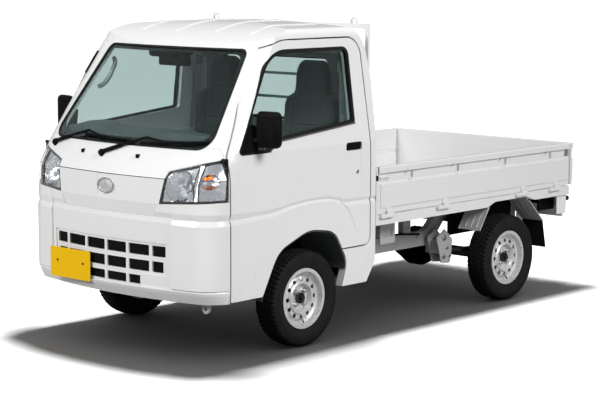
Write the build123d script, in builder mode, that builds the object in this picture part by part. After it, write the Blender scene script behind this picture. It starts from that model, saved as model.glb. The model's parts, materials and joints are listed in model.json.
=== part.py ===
from build123d import *
import math
import os
from collections import namedtuple

# Kei truck, millimetres. The origin is on the floor below the middle of the truck,
# the front faces -Y, +X is the vehicle's own left, +Z is up.

# Overall sizes
overall_length = 3395.0
half_width = 737.5
front_end = -overall_length / 2
rear_end = overall_length / 2

# Axles, wheels and tyres
front_axle_y = -869.0
rear_axle_y = 1031.0
axle_z = 268.5
tyre_radius = 268.5
tyre_half_width = 73.5
front_wheel_x = 652.5
rear_wheel_x = 650.0
rim_flange_radius = 168.0
bead_seat_radius = 152.0
rim_well_radius = 130.0
rim_half_width = 57.0
rim_sheet = 3.5
disc_face = 12.0
disc_sheet = 5.0
hand_hole_count = 12
hand_hole_radius = 12.5
hand_hole_circle = 107.0
hub_bore_radius = 31.0

# Cab skin: the nose's plan is one wide arc between two corner arcs
nose_radius = 2700.0
corner_radius = 176.0
belt_z = 1100.0
rail_half_width = 655.0
rail_z = 1736.0
roof_z = 1766.0
rail_radius = 62.0
header_y = -1190.0
header_z = 1640.0
roof_peak_y = -600.0
cab_rear_y = -300.0
panel_sheet = 5.0
bumper_sheet = 24.0
seam = 1.5
seam_depth = 3.0
roof_depth = 30.0
pillar_depth = 48.0
door_sheet = 10.0
door_depth = 85.0
door_frame_depth = 44.0
door_gap = 8.0
fit = 0.3

# Crease along the body's sides and round the bumper's corners
crease_low_z = 735.0
crease_z = 764.0
crease_high_z = 797.0
crease_depth = 8.5

# Where the cab's panels meet
hood_line_z = 972.0
cowl_top_z = 1136.0
nose_joint_y = -1478.0
door_front_y = -1476.0
door_rear_y = -342.0
door_top_z = 1690.0
door_sill_z = 510.0
panel_bottom_z = 322.0
roof_joint_z = 1634.0
roof_half_width = 603.0
sill_bottom_z = 303.0
hinge_pillar_y = -1530.0
back_panel_low_z = 600.0

# Cab floor
foot_z = 400.0
deck_z = 672.0
floor_sheet = 12.0
floor_half_width = 642.0
riser_y = -1190.0
firewall_y = -1520.0
floor_rear_y = cab_rear_y - pillar_depth - fit

# Bed
bed_floor_z = 660.0
bed_floor_sheet = 20.0
gate_top_z = 945.0
gate_bottom_z = 674.0
gate_front_y = -276.0
gate_rear_y = 1652.0
gate_inner_x = 706.0
gate_outer_x = 735.0
tailgate_inner_y = 1660.0
tailgate_outer_y = 1689.0
bed_wall_y = -286.0
bed_wall_depth = 14.0
gate_pin_z = 662.0
gate_pin_x = 745.0
gate_pin_y = rear_end - 5.0
knuckle_radius = 8.0

# Ladder frame
rail_outer_x = 400.0
rail_inner_x = 358.0
rail_low_z = 364.0
rail_high_z = 454.0
kick_low_z = 536.0
cross_member_z = 612.0
rail_end_y = 1620.0

Corner = namedtuple("Corner", "u v radius")
nodes = {}


def finish(name, solid):
    # Label a finished piece and keep it for writing.
    solid.label = name
    nodes[name] = solid


def finish_pair(name, left_solid):
    # A piece of the left side and its mirror image on the right.
    finish(f"{name}_left", left_solid)
    with BuildPart() as right:
        mirror(left_solid, about=Plane.YZ)
    finish(f"{name}_right", right.part)


def finish_both(name, left_solid):
    # Two like pieces of one body, the left one and its mirror image, in one node.
    with BuildPart() as both:
        add(left_solid)
        mirror(left_solid, about=Plane.YZ)
    finish(name, both.part)


def rounded_face(corners, shrink):
    # Face with the given corners, drawn in the sketch that is open.
    with BuildLine() as outline:
        FilletPolyline(
            [(corner.u, corner.v) for corner in corners],
            radius=[corner.radius for corner in corners],
            close=True,
        )
    make_face(outline.edges())
    if shrink:
        offset(amount=-shrink)


def side_prism(corners, x_low, x_high, shrink=0.0):
    # Prism across the truck from a side view: corners are y, z, radius.
    with BuildPart() as prism:
        with BuildSketch(Plane.YZ.offset(x_low)):
            rounded_face(corners, shrink)
        extrude(amount=x_high - x_low)
    return prism.part


def front_prism(corners, y_low, y_high, shrink=0.0):
    # Prism along the truck from a front view: corners are x, z, radius.
    with BuildPart() as prism:
        with BuildSketch(Plane.XZ.offset(-y_high)):
            rounded_face(corners, shrink)
        extrude(amount=y_high - y_low)
    return prism.part


def plan_prism(corners, z_low, z_high, shrink=0.0):
    # Upright prism from a plan: corners are x, y, radius.
    with BuildPart() as prism:
        with BuildSketch(Plane.XY.offset(z_low)):
            rounded_face(corners, shrink)
        extrude(amount=z_high - z_low)
    return prism.part


def block(x_low, x_high, y_low, y_high, z_low, z_high, mode=Mode.ADD):
    # Plain block between two corners, in the part that is open.
    with Locations((x_low, y_low, z_low)):
        Box(
            x_high - x_low,
            y_high - y_low,
            z_high - z_low,
            align=(Align.MIN, Align.MIN, Align.MIN),
            mode=mode,
        )


# Height and y of the nose's middle line, from below the bumper to past the windscreen
Level = namedtuple("Level", "z y")
nose_levels = [
    Level(270.0, front_end + 52.0),
    Level(400.0, front_end),
    Level(740.0, front_end),
    Level(970.0, front_end + 18.0),
    Level(1115.0, -1590.0),
    Level(1840.0, -1037.0),
]


def nose_plan(front, inset):
    # Plan of the cab at one height, moved inwards by inset.
    half = half_width - inset
    nose = nose_radius - inset
    corner = corner_radius - inset
    nose_y = front + inset + nose
    turn = math.asin((half - corner) / (nose - corner))
    corner_y = nose_y - (nose - corner) * math.cos(turn)
    meet_x = nose * math.sin(turn)
    meet_y = nose_y - nose * math.cos(turn)
    middle = (turn + math.pi / 2) / 2
    middle_x = half - corner + corner * math.sin(middle)
    middle_y = corner_y - corner * math.cos(middle)
    with BuildLine() as plan:
        ThreePointArc((-meet_x, meet_y), (0, front + inset), (meet_x, meet_y))
        ThreePointArc((meet_x, meet_y), (middle_x, middle_y), (half, corner_y))
        Polyline((half, corner_y), (half, 0), (-half, 0), (-half, corner_y))
        ThreePointArc((-half, corner_y), (-middle_x, middle_y), (-meet_x, meet_y))
    make_face(plan.edges())


def cab_form(inset):
    # Solid inside the cab's outer surface, moved inwards by inset.
    wall = half_width - inset
    rail = rail_half_width - inset
    rear = cab_rear_y - inset
    skirt = 60.0
    skirt_z = belt_z - skirt * (rail_z - belt_z) / (half_width - rail_half_width)
    with BuildPart() as form:
        for level in nose_levels:
            with BuildSketch(Plane.XY.offset(level.z)):
                nose_plan(level.y, inset)
        loft(ruled=True)
        with BuildSketch(Plane.XZ) as across:
            with BuildLine():
                Polyline(
                    (-rail, rail_z - inset),
                    (-wall - skirt, skirt_z),
                    (-wall - skirt, 0),
                    (wall + skirt, 0),
                    (wall + skirt, skirt_z),
                    (rail, rail_z - inset),
                )
                ThreePointArc(
                    (rail, rail_z - inset),
                    (0, roof_z + 2.0 - inset),
                    (-rail, rail_z - inset),
                )
            make_face()
            rails = across.vertices().filter_by_position(Axis.Y, rail_z - inset - 1, roof_z)
            fillet(rails, max(rail_radius - inset, 8.0))
        extrude(amount=2000.0, mode=Mode.INTERSECT)
        with BuildSketch(Plane.YZ.offset(-900.0)):
            with BuildLine():
                Polyline(
                    (header_y, header_z - inset),
                    (front_end - 60.0, header_z - inset),
                    (front_end - 60.0, 0),
                    (rear, 0),
                    (rear, 1450.0),
                    (rear - 24.0, 1612.0 - inset / 2),
                )
                ThreePointArc(
                    (rear - 24.0, 1612.0 - inset / 2),
                    (rear - 98.0, 1722.0 - inset),
                    (roof_peak_y, roof_z - inset),
                )
                ThreePointArc(
                    (roof_peak_y, roof_z - inset),
                    (-900.0, 1743.0 - inset),
                    (header_y, header_z - inset),
                )
            make_face()
        extrude(amount=1800.0, mode=Mode.INTERSECT)
    return form.part


Depth = namedtuple("Depth", "z inset")


def nose_front(z):
    # y of the nose's middle line at one height.
    for low, high in zip(nose_levels, nose_levels[1:]):
        if low.z <= z <= high.z:
            share = (z - low.z) / (high.z - low.z)
            return low.y + share * (high.y - low.y)


def band_form(depths):
    # Solid inside a front surface whose depth below the cab's surface changes with height.
    with BuildPart() as form:
        for depth in depths:
            with BuildSketch(Plane.XY.offset(depth.z)):
                nose_plan(nose_front(depth.z), depth.inset)
        loft(ruled=True)
    return form.part


forms = {}


def cab_shell(outer, inner):
    # Hollow skin between two depths below the cab's outer surface.
    for depth in (outer, inner):
        if depth not in forms:
            forms[depth] = cab_form(depth)
    with BuildPart() as shell:
        add(forms[outer])
        add(forms[inner], mode=Mode.SUBTRACT)
    return shell.part


def seamed_panel(depth, region, face_region):
    # Panel whose outer face stands back from its edge, which leaves a seam round it.
    with BuildPart() as face:
        add(cab_shell(0.0, seam_depth))
        add(face_region, mode=Mode.INTERSECT)
    with BuildPart() as panel:
        add(cab_shell(seam_depth, depth))
        add(region, mode=Mode.INTERSECT)
        add(face.part)
    return panel.part


# Outlines in side view: y, z, corner radius
door_outline = [
    Corner(door_front_y, panel_bottom_z, 14.0),
    Corner(door_front_y, 1092.0, 120.0),
    Corner(-1133.0, door_top_z, 290.0),
    Corner(-370.0, door_top_z, 110.0),
    Corner(door_rear_y, 1000.0, 900.0),
    Corner(door_rear_y, door_sill_z, 58.0),
    Corner(-800.0, door_sill_z, 0.0),
    Corner(-900.0, panel_bottom_z, 0.0),
]
wheel_arch = [
    Corner(-1238.0, 250.0, 0.0),
    Corner(-1238.0, 316.0, 60.0),
    Corner(-1108.0, 560.0, 190.0),
    Corner(-860.0, 654.0, 260.0),
    Corner(-646.0, 622.0, 130.0),
    Corner(-540.0, 440.0, 120.0),
    Corner(-586.0, 300.0, 0.0),
    Corner(-586.0, 250.0, 0.0),
]
door_window = [
    Corner(-1405.0, 1106.0, 16.0),
    Corner(-1180.0, 1106.0, 60.0),
    Corner(-1112.0, 1156.0, 60.0),
    Corner(-476.0, 1217.0, 22.0),
    Corner(-482.0, 1628.0, 44.0),
    Corner(-1112.0, 1628.0, 210.0),
]
sill_end = [
    Corner(-377.0, sill_bottom_z, 0.0),
    Corner(-330.0, 372.0, 0.0),
    Corner(-290.0, 430.0, 0.0),
    Corner(-200.0, 430.0, 0.0),
    Corner(-200.0, 200.0, 0.0),
    Corner(-377.0, 200.0, 0.0),
]

handle_pocket = [
    Corner(-557.0, 1060.0, 8.0),
    Corner(-424.0, 1060.0, 8.0),
    Corner(-424.0, 1106.0, 14.0),
    Corner(-557.0, 1106.0, 18.0),
]
handle_pad = [
    Corner(-556.0, 912.0, 12.0),
    Corner(-428.0, 912.0, 18.0),
    Corner(-428.0, 1052.0, 8.0),
    Corner(-556.0, 1052.0, 8.0),
]

# Crease sections along y: heights of its upper edge, its bottom and its lower edge, and its depth
Crease = namedtuple("Crease", "y high middle low depth")
arch_crease = [
    Crease(-1420.0, crease_high_z, crease_z, crease_low_z, crease_depth),
    Crease(-1168.0, 797.0, 770.0, 745.0, crease_depth),
    Crease(-1084.0, 803.0, 782.0, 762.0, crease_depth),
    Crease(-987.0, 815.0, 797.0, 780.0, crease_depth),
    Crease(-889.0, 823.0, 806.0, 790.0, crease_depth),
    Crease(-789.0, 825.0, 809.0, 794.0, crease_depth),
    Crease(-687.0, 822.0, 805.0, 789.0, crease_depth),
    Crease(-600.0, 806.0, 787.0, 762.0, crease_depth),
    Crease(-534.0, 742.0, 723.0, 702.0, 6.5),
    Crease(-490.0, 678.0, 655.0, 634.0, 5.0),
    Crease(-458.0, 590.0, 573.0, 560.0, 0.6),
]
rear_crease = [
    Crease(-622.0, 800.0, 786.0, 770.0, 1.0),
    Crease(-560.0, 793.0, 774.0, 748.0, crease_depth),
    Crease(-200.0, 790.0, 772.0, 746.0, crease_depth),
]


def crease_cut(sections):
    # Groove of triangular section along the left side wall.
    with BuildPart() as groove:
        for section in sections:
            with BuildSketch(Plane.XZ.offset(-section.y)):
                with BuildLine() as triangle:
                    Polyline(
                        (half_width + 1.0, section.high),
                        (half_width - section.depth, section.middle),
                        (half_width + 1.0, section.low),
                        (half_width + 1.0, section.high),
                    )
                make_face(triangle.edges())
        loft(ruled=True)
    return groove.part


# Outlines in front view: x, z, corner radius
door_side = [
    Corner(648.0, 200.0, 0.0),
    Corner(900.0, 200.0, 0.0),
    Corner(900.0, 1800.0, 0.0),
    Corner(568.0, 1800.0, 0.0),
    Corner(590.0, 1660.0, 0.0),
    Corner(668.0, cowl_top_z, 0.0),
    Corner(648.0, 1090.0, 0.0),
]
windscreen_outline = [
    Corner(-623.0, 1126.0, 70.0),
    Corner(623.0, 1126.0, 70.0),
    Corner(541.0, roof_joint_z, 45.0),
    Corner(-541.0, roof_joint_z, 45.0),
]
rear_window_outline = [
    Corner(-480.0, 1180.0, 55.0),
    Corner(480.0, 1180.0, 55.0),
    Corner(450.0, 1560.0, 55.0),
    Corner(-450.0, 1560.0, 55.0),
]
lamp_outline = [
    Corner(391.0, 838.0, 14.0),
    Corner(780.0, 864.0, 0.0),
    Corner(780.0, 1102.0, 0.0),
    Corner(737.0, 1090.0, 30.0),
    Corner(429.0, 1011.0, 16.0),
]
nose_panel_outline = [
    Corner(-350.0, 770.0, 26.0),
    Corner(350.0, 770.0, 26.0),
    Corner(391.0, 838.0, 0.0),
    Corner(420.6, hood_line_z, 0.0),
    Corner(-420.6, hood_line_z, 0.0),
    Corner(-391.0, 838.0, 0.0),
]
cowl_outline = [
    Corner(-420.6, hood_line_z, 0.0),
    Corner(420.6, hood_line_z, 0.0),
    Corner(429.0, 1011.0, 0.0),
    Corner(780.0, 1101.0, 0.0),
    Corner(780.0, cowl_top_z, 0.0),
    Corner(-780.0, cowl_top_z, 0.0),
    Corner(-780.0, 1101.0, 0.0),
    Corner(-429.0, 1011.0, 0.0),
]
bumper_outline = [
    Corner(-780.0, panel_bottom_z, 0.0),
    Corner(780.0, panel_bottom_z, 0.0),
    Corner(780.0, 864.0, 0.0),
    Corner(391.0, 838.0, 0.0),
    Corner(-391.0, 838.0, 0.0),
    Corner(-780.0, 864.0, 0.0),
]

recess_outline = [
    Corner(-452.0, 628.0, 12.0),
    Corner(-436.0, 458.0, 12.0),
    Corner(-276.0, 458.0, 12.0),
    Corner(-270.0, 384.0, 12.0),
    Corner(270.0, 384.0, 12.0),
    Corner(276.0, 458.0, 12.0),
    Corner(436.0, 458.0, 12.0),
    Corner(452.0, 628.0, 12.0),
]
badge_pad = [
    Corner(-62.0, 850.0, 24.0),
    Corner(74.0, 850.0, 24.0),
    Corner(74.0, 990.0, 4.0),
    Corner(-62.0, 990.0, 4.0),
]

# Roof panel in plan: x, y, corner radius
roof_outline = [
    Corner(-548.0, -1300.0, 0.0),
    Corner(548.0, -1300.0, 0.0),
    Corner(548.0, -1150.0, 0.0),
    Corner(roof_half_width, -985.0, 0.0),
    Corner(roof_half_width, -200.0, 0.0),
    Corner(-roof_half_width, -200.0, 0.0),
    Corner(-roof_half_width, -985.0, 0.0),
    Corner(-548.0, -1150.0, 0.0),
]


def door_region(shrink):
    # What the door fills when it is shut, less a gap all round.
    with BuildPart() as region:
        add(side_prism(door_outline, 500.0, 900.0, shrink))
        add(front_prism(door_side, -1800.0, 0.0), mode=Mode.INTERSECT)
    return region.part


windscreen_cut = front_prism(windscreen_outline, -1750.0, -1000.0)
rear_window_cut = front_prism(rear_window_outline, -440.0, -200.0)
roof_region = plan_prism(roof_outline, roof_joint_z, 1850.0)
arch_cut = side_prism(wheel_arch, 500.0, 900.0)
nose_panel_cut = front_prism(nose_panel_outline, -1750.0, nose_joint_y)
body_creases = [crease_cut(arch_crease), crease_cut(rear_crease)]

# Inner side of the crease round the front corners
with BuildPart() as corner_crease:
    block(480.0, 900.0, -1800.0, -1410.0, crease_low_z, crease_high_z)
    add(
        band_form([
            Depth(crease_low_z - 10.0, 0.0), Depth(crease_low_z, 0.0),
            Depth(crease_z, crease_depth), Depth(crease_high_z, 0.0),
            Depth(crease_high_z + 10.0, 0.0),
        ]),
        mode=Mode.SUBTRACT,
    )

# Roof panel with its header, rails and pressed beads
bead_height = 4.0
bead_half_width = 17.0
bead_places = [-430.0, -150.0, 150.0, 430.0]
bead_front_y = -1010.0
bead_rear_y = -470.0
with BuildPart() as roof_beads:
    for bead_x in bead_places:
        block(
            bead_x - bead_half_width, bead_x + bead_half_width,
            bead_front_y, bead_rear_y,
            roof_joint_z, 1800.0,
        )
    fillet(roof_beads.edges().filter_by(Axis.Z), bead_half_width - 1.0)
    add(cab_form(-bead_height), mode=Mode.INTERSECT)
    add(cab_form(roof_depth / 2), mode=Mode.SUBTRACT)

roof_face = plan_prism(roof_outline, roof_joint_z, 1850.0, seam)
with BuildPart() as roof_panel:
    add(seamed_panel(roof_depth, roof_region, roof_face))
    add(windscreen_cut, mode=Mode.SUBTRACT)
    add(roof_beads.part)
finish("roof_panel", roof_panel.part)

# Back panel between the rear quarters, with the rear window's opening
with BuildPart() as back_region:
    block(
        -roof_half_width, roof_half_width, -440.0, -200.0,
        back_panel_low_z, roof_joint_z,
    )

with BuildPart() as back_face:
    block(
        seam - roof_half_width, roof_half_width - seam, -440.0, -200.0,
        back_panel_low_z, roof_joint_z - seam,
    )

with BuildPart() as back_panel:
    add(seamed_panel(roof_depth, back_region.part, back_face.part))
    add(rear_window_cut, mode=Mode.SUBTRACT)
finish("back_panel", back_panel.part)

# Side frame: pillars, roof rail, rear quarter and sill in one pressing, and the hinge pillar
with BuildPart() as hinge_pillar:
    add(cab_shell(bumper_sheet + fit, 60.0))
    block(630.0, 900.0, hinge_pillar_y, nose_joint_y, foot_z, cowl_top_z, Mode.INTERSECT)
    add(front_prism(lamp_outline, -1750.0, nose_joint_y, -fit), mode=Mode.SUBTRACT)

with BuildPart() as side_frame:
    add(cab_shell(0.0, pillar_depth))
    add(roof_region, mode=Mode.SUBTRACT)
    block(
        -roof_half_width, roof_half_width, -440.0, -200.0,
        0.0, roof_joint_z, Mode.SUBTRACT,
    )
    block(-900.0, 0.0, -1800.0, 0.0, 0.0, 1850.0, Mode.SUBTRACT)
    block(-900.0, 900.0, -1800.0, nose_joint_y, 0.0, cowl_top_z, Mode.SUBTRACT)
    block(-900.0, 900.0, -1800.0, front_axle_y, 0.0, panel_bottom_z + 2.0, Mode.SUBTRACT)
    block(-900.0, 900.0, -1800.0, 0.0, 0.0, sill_bottom_z, Mode.SUBTRACT)
    add(windscreen_cut, mode=Mode.SUBTRACT)
    add(door_region(0.0), mode=Mode.SUBTRACT)
    add(arch_cut, mode=Mode.SUBTRACT)
    add(side_prism(sill_end, 500.0, 900.0), mode=Mode.SUBTRACT)
    add(body_creases, mode=Mode.SUBTRACT)
    add(hinge_pillar.part)
finish_pair("side_frame", side_frame.part)

# Cowl panel above the hood line, and the nose panel below it with its undercut lower band
cowl_region = front_prism(cowl_outline, -1750.0, nose_joint_y)
cowl_face = front_prism(cowl_outline, -1750.0, nose_joint_y - seam, seam)
with BuildPart() as cowl_panel:
    add(seamed_panel(panel_sheet, cowl_region, cowl_face))
    add(windscreen_cut, mode=Mode.SUBTRACT)
finish("cowl_panel", cowl_panel.part)

undercut_high_z = 838.0
undercut_low_z = 760.0
undercut_depth = 18.0
badge_pad_depth = 2.0
nose_region = front_prism(nose_panel_outline, -1750.0, nose_joint_y, 0.7)
nose_face = front_prism(nose_panel_outline, -1750.0, nose_joint_y, seam)
with BuildPart() as nose_upper:
    add(seamed_panel(panel_sheet, nose_region, nose_face))
    block(-500.0, 500.0, -1800.0, -1400.0, undercut_high_z, 1000.0, Mode.INTERSECT)
    add(front_prism(badge_pad, -1750.0, -1500.0), mode=Mode.SUBTRACT)
    with BuildPart(mode=Mode.PRIVATE) as pad_fill:
        add(cab_shell(badge_pad_depth, panel_sheet))
        add(front_prism(badge_pad, -1750.0, -1500.0), mode=Mode.INTERSECT)
        add(nose_region, mode=Mode.INTERSECT)
    add(pad_fill.part)

with BuildPart() as nose_panel:
    add(band_form([Depth(undercut_low_z, undercut_depth), Depth(undercut_high_z, 0.0)]))
    add(
        band_form([
            Depth(undercut_low_z, undercut_depth + panel_sheet), Depth(undercut_high_z, panel_sheet)
        ]),
        mode=Mode.SUBTRACT,
    )
    add(nose_region, mode=Mode.INTERSECT)
    add(nose_upper.part)
finish("nose_panel", nose_panel.part)

# Bumper: raised corner pads under the crease, a set-back middle and a lip along the bottom
pad_depths = [
    Depth(300.0, 8.0), Depth(368.0, 0.0), Depth(384.0, 0.0), Depth(390.0, 4.0), Depth(397.0, 0.0),
    Depth(crease_low_z, 0.0), Depth(crease_z, crease_depth), Depth(crease_high_z, 0.0),
    Depth(880.0, 0.0),
]
middle_depths = [
    Depth(300.0, 8.0), Depth(368.0, 0.0), Depth(384.0, 0.0), Depth(398.0, 9.0),
    Depth(742.0, 9.0), Depth(770.0, 13.0), Depth(crease_high_z, 3.0), Depth(880.0, 0.0),
]
pad_edge_x = 489.0
pad_slope = 16.0
with BuildPart() as middle_cut:
    with BuildSketch(Plane.XY.offset(301.0)):
        with BuildLine() as trapezoid:
            Polyline(
                (-pad_edge_x - 40.0, -1750.0), (pad_edge_x + 40.0, -1750.0),
                (pad_edge_x - pad_slope, -1640.0), (pad_slope - pad_edge_x, -1640.0),
                (-pad_edge_x - 40.0, -1750.0),
            )
        make_face(trapezoid.edges())
    extrude(amount=578.0)
    add(band_form(middle_depths), mode=Mode.SUBTRACT)

# Grille openings in the bumper: bottom, top and half width of each row
Row = namedtuple("Row", "low high half")
grille_rows = [Row(556.0, 614.0, 430.0), Row(472.0, 530.0, 416.0), Row(398.0, 446.0, 258.0)]
grille_bars = [-330.0, -165.0, 0.0, 165.0, 330.0]
grille_bar_width = 20.0
recess_depth = 15.0
with BuildPart() as grille_cut:
    for row in grille_rows:
        block(-row.half, row.half, -1750.0, -1600.0, row.low, row.high)
    for bar_x in grille_bars:
        block(
            bar_x - grille_bar_width / 2, bar_x + grille_bar_width / 2,
            -1750.0, -1600.0, 300.0, 700.0, Mode.SUBTRACT,
        )
    fillet(grille_cut.edges().filter_by(Axis.Y), 5.0)

with BuildPart() as recess_cut:
    add(front_prism(recess_outline, -1750.0, -1600.0))
    add(cab_form(recess_depth), mode=Mode.SUBTRACT)

with BuildPart() as front_bumper:
    add(band_form(pad_depths))
    add(cab_form(bumper_sheet), mode=Mode.SUBTRACT)
    add(front_prism(bumper_outline, -1750.0, nose_joint_y), mode=Mode.INTERSECT)
    add(nose_panel_cut, mode=Mode.SUBTRACT)
    add(middle_cut.part, mode=Mode.SUBTRACT)
    add(recess_cut.part, mode=Mode.SUBTRACT)
    add(grille_cut.part, mode=Mode.SUBTRACT)
finish("front_bumper", front_bumper.part)

# Dark panel behind the grille
with BuildPart() as grille_backing:
    add(cab_shell(bumper_sheet + fit, 36.0))
    block(-470.0, 470.0, -1750.0, -1580.0, 380.0, 640.0, Mode.INTERSECT)
finish("grille_backing", grille_backing.part)

# Headlamps: a clear lens over a housing with its reflector bowl
lamp_lens_sheet = 3.0
lamp_depth = 75.0
with BuildPart() as lamp_lens:
    add(cab_shell(0.0, lamp_lens_sheet))
    add(front_prism(lamp_outline, -1750.0, nose_joint_y - 2.0, 1.5), mode=Mode.INTERSECT)
finish_both("headlamp_lenses", lamp_lens.part)

bowl_x = 500.0
bowl_z = 928.0
with BuildPart() as lamp_housing:
    add(cab_shell(lamp_lens_sheet + fit, lamp_depth))
    add(front_prism(lamp_outline, -1750.0, hinge_pillar_y - 2.0, fit), mode=Mode.INTERSECT)
    with Locations((bowl_x, -1690.0, bowl_z)):
        Sphere(82.0, mode=Mode.SUBTRACT)
finish_both("headlamp_housings", lamp_housing.part)

# Glass
glass_sheet = 5.0
with BuildPart() as windscreen:
    add(cab_shell(3.0, 3.0 + glass_sheet))
    add(front_prism(windscreen_outline, -1750.0, -1000.0, fit), mode=Mode.INTERSECT)
finish("windscreen", windscreen.part)

with BuildPart() as rear_window:
    add(cab_shell(10.0, 10.0 + glass_sheet))
    add(front_prism(rear_window_outline, -440.0, -200.0, fit), mode=Mode.INTERSECT)
finish("rear_window", rear_window.part)

# Doors: outer skin, inner box below the belt and a frame round the window
door_flange = 16.0
arch_lip = 22.0
pocket_depth = 20.0
box_top_z = 1092.0
with BuildPart() as door_inner:
    add(cab_shell(door_sheet, door_depth))
    add(door_region(door_gap + door_flange), mode=Mode.INTERSECT)
    block(400.0, 900.0, -1800.0, 0.0, box_top_z, 1850.0, Mode.SUBTRACT)
    add(side_prism(wheel_arch, 500.0, 900.0, -arch_lip), mode=Mode.SUBTRACT)

with BuildPart() as door_upper:
    add(cab_shell(door_sheet, door_frame_depth))
    add(door_region(door_gap + door_flange), mode=Mode.INTERSECT)
    block(400.0, 900.0, -1800.0, 0.0, 0.0, box_top_z - 6.0, Mode.SUBTRACT)

with BuildPart() as door:
    add(cab_shell(0.0, door_sheet))
    add(door_region(door_gap), mode=Mode.INTERSECT)
    add(door_inner.part)
    add(door_upper.part)
    add(side_prism(door_window, 400.0, 900.0), mode=Mode.SUBTRACT)
    add(body_creases, mode=Mode.SUBTRACT)
    add(corner_crease.part, mode=Mode.SUBTRACT)
    add(side_prism(handle_pocket, half_width - pocket_depth, 900.0), mode=Mode.SUBTRACT)
    add(side_prism(handle_pad, half_width - 1.5, 900.0), mode=Mode.SUBTRACT)
    add(arch_cut, mode=Mode.SUBTRACT)
finish_pair("door", door.part)

with BuildPart() as door_glass:
    add(cab_shell(20.0, 20.0 + glass_sheet))
    add(side_prism(door_window, 500.0, 900.0, fit), mode=Mode.INTERSECT)
    add(front_prism(door_side, -1800.0, 0.0), mode=Mode.INTERSECT)
finish_pair("door_glass", door_glass.part)

# Door mirror on its black corner plate: arm and head
mirror_plate = [
    Corner(-1404.0, 1107.0, 14.0),
    Corner(-1262.0, 1107.0, 8.0),
    Corner(-1262.0, 1250.0, 8.0),
    Corner(-1318.0, 1250.0, 8.0),
]
with BuildPart() as door_mirror:
    add(cab_shell(0.0, 20.0 - fit))
    add(side_prism(mirror_plate, 400.0, 900.0, 1.0), mode=Mode.INTERSECT)
    block(718.0, 800.0, -1290.0, -1268.0, 1150.0, 1174.0)
    with BuildSketch(Plane.XY.offset(1132.0)):
        with BuildLine():
            FilletPolyline(
                (738.0, -1292.0), (786.0, -1300.0), (884.0, -1262.0), (872.0, -1210.0),
                (738.0, -1224.0),
                radius=[14.0, 34.0, 26.0, 12.0, 12.0],
                close=True,
            )
        make_face()
    extrude(amount=196.0)
    fillet(door_mirror.faces().sort_by(Axis.Z)[-1].edges(), 10.0)
finish_pair("door_mirror", door_mirror.part)

# Cab floor: footwell, firewall, riser, deck over the wheels with the seats' firm bases,
# and the wheel houses' inner walls
seat_half_width = 232.0
seat_x = 352.0
seat_base_z = 704.0
with BuildPart() as cab_floor:
    block(-floor_half_width, floor_half_width, firewall_y, riser_y, foot_z, foot_z + floor_sheet)
    block(
        -floor_half_width, floor_half_width,
        riser_y, riser_y + floor_sheet, foot_z, deck_z + floor_sheet,
    )
    block(
        -floor_half_width, floor_half_width,
        riser_y, floor_rear_y, deck_z, deck_z + floor_sheet,
    )
    block(-600.0, 600.0, firewall_y, firewall_y + floor_sheet, foot_z, 958.0)
    for side in (-1, 1):
        wall_x = side * 411.0
        block(
            min(wall_x, wall_x - side * 8.0), max(wall_x, wall_x - side * 8.0),
            riser_y, -500.0, 470.0, deck_z,
        )
        far_x = side * floor_half_width
        block(
            min(wall_x, far_x), max(wall_x, far_x),
            -508.0, -500.0, 340.0, deck_z,
        )
    for place in (-seat_x, seat_x):
        block(place - 210.0, place + 210.0, -960.0, -470.0, deck_z, seat_base_z)
finish("cab_floor", cab_floor.part)

# Dashboard, steering column and wheel
dash_profile = [
    Corner(-1600.0, 1092.0, 0.0),
    Corner(-1330.0, 1080.0, 30.0),
    Corner(-1262.0, 1010.0, 30.0),
    Corner(-1300.0, 820.0, 30.0),
    Corner(-1420.0, 800.0, 20.0),
    Corner(firewall_y + floor_sheet + fit, 880.0, 0.0),
    Corner(firewall_y + floor_sheet + fit, 962.0, 0.0),
    Corner(-1600.0, 962.0, 0.0),
]
with BuildPart() as dashboard:
    add(side_prism(dash_profile, -618.0, 618.0))
    add(cab_form(door_depth + 6.0), mode=Mode.INTERSECT)
finish("dashboard", dashboard.part)

driver_x = -350.0
wheel_centre = (driver_x, -1168.0, 1052.0)
wheel_tilt = 32.0
wheel_rim_radius = 183.0
wheel_grip_radius = 14.0
steering_plane = Plane(
    origin=wheel_centre,
    x_dir=(1, 0, 0),
    z_dir=(0, math.sin(math.radians(wheel_tilt)), math.cos(math.radians(wheel_tilt))),
)
with BuildPart() as steering_wheel:
    with BuildSketch(Plane(origin=steering_plane.origin, x_dir=(1, 0, 0), z_dir=steering_plane.y_dir)):
        with Locations((wheel_rim_radius, 0)):
            Circle(wheel_grip_radius)
    revolve(axis=Axis(steering_plane.origin, steering_plane.z_dir))
    with BuildSketch(steering_plane.offset(-30.0)):
        Circle(66.0)
    extrude(amount=34.0)
    with BuildSketch(steering_plane.offset(-14.0)):
        Rectangle(2 * wheel_rim_radius, 30.0)
        with Locations((0, -wheel_rim_radius / 2)):
            Rectangle(34.0, wheel_rim_radius)
    extrude(amount=12.0)
finish("steering_wheel", steering_wheel.part)

column_length = 330.0
with BuildPart() as steering_column:
    with BuildSketch(steering_plane.offset(-30.5 - column_length)):
        Circle(24.0)
    extrude(amount=column_length)
    add(dashboard.part, mode=Mode.SUBTRACT)
finish("steering_column", steering_column.part)

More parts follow.
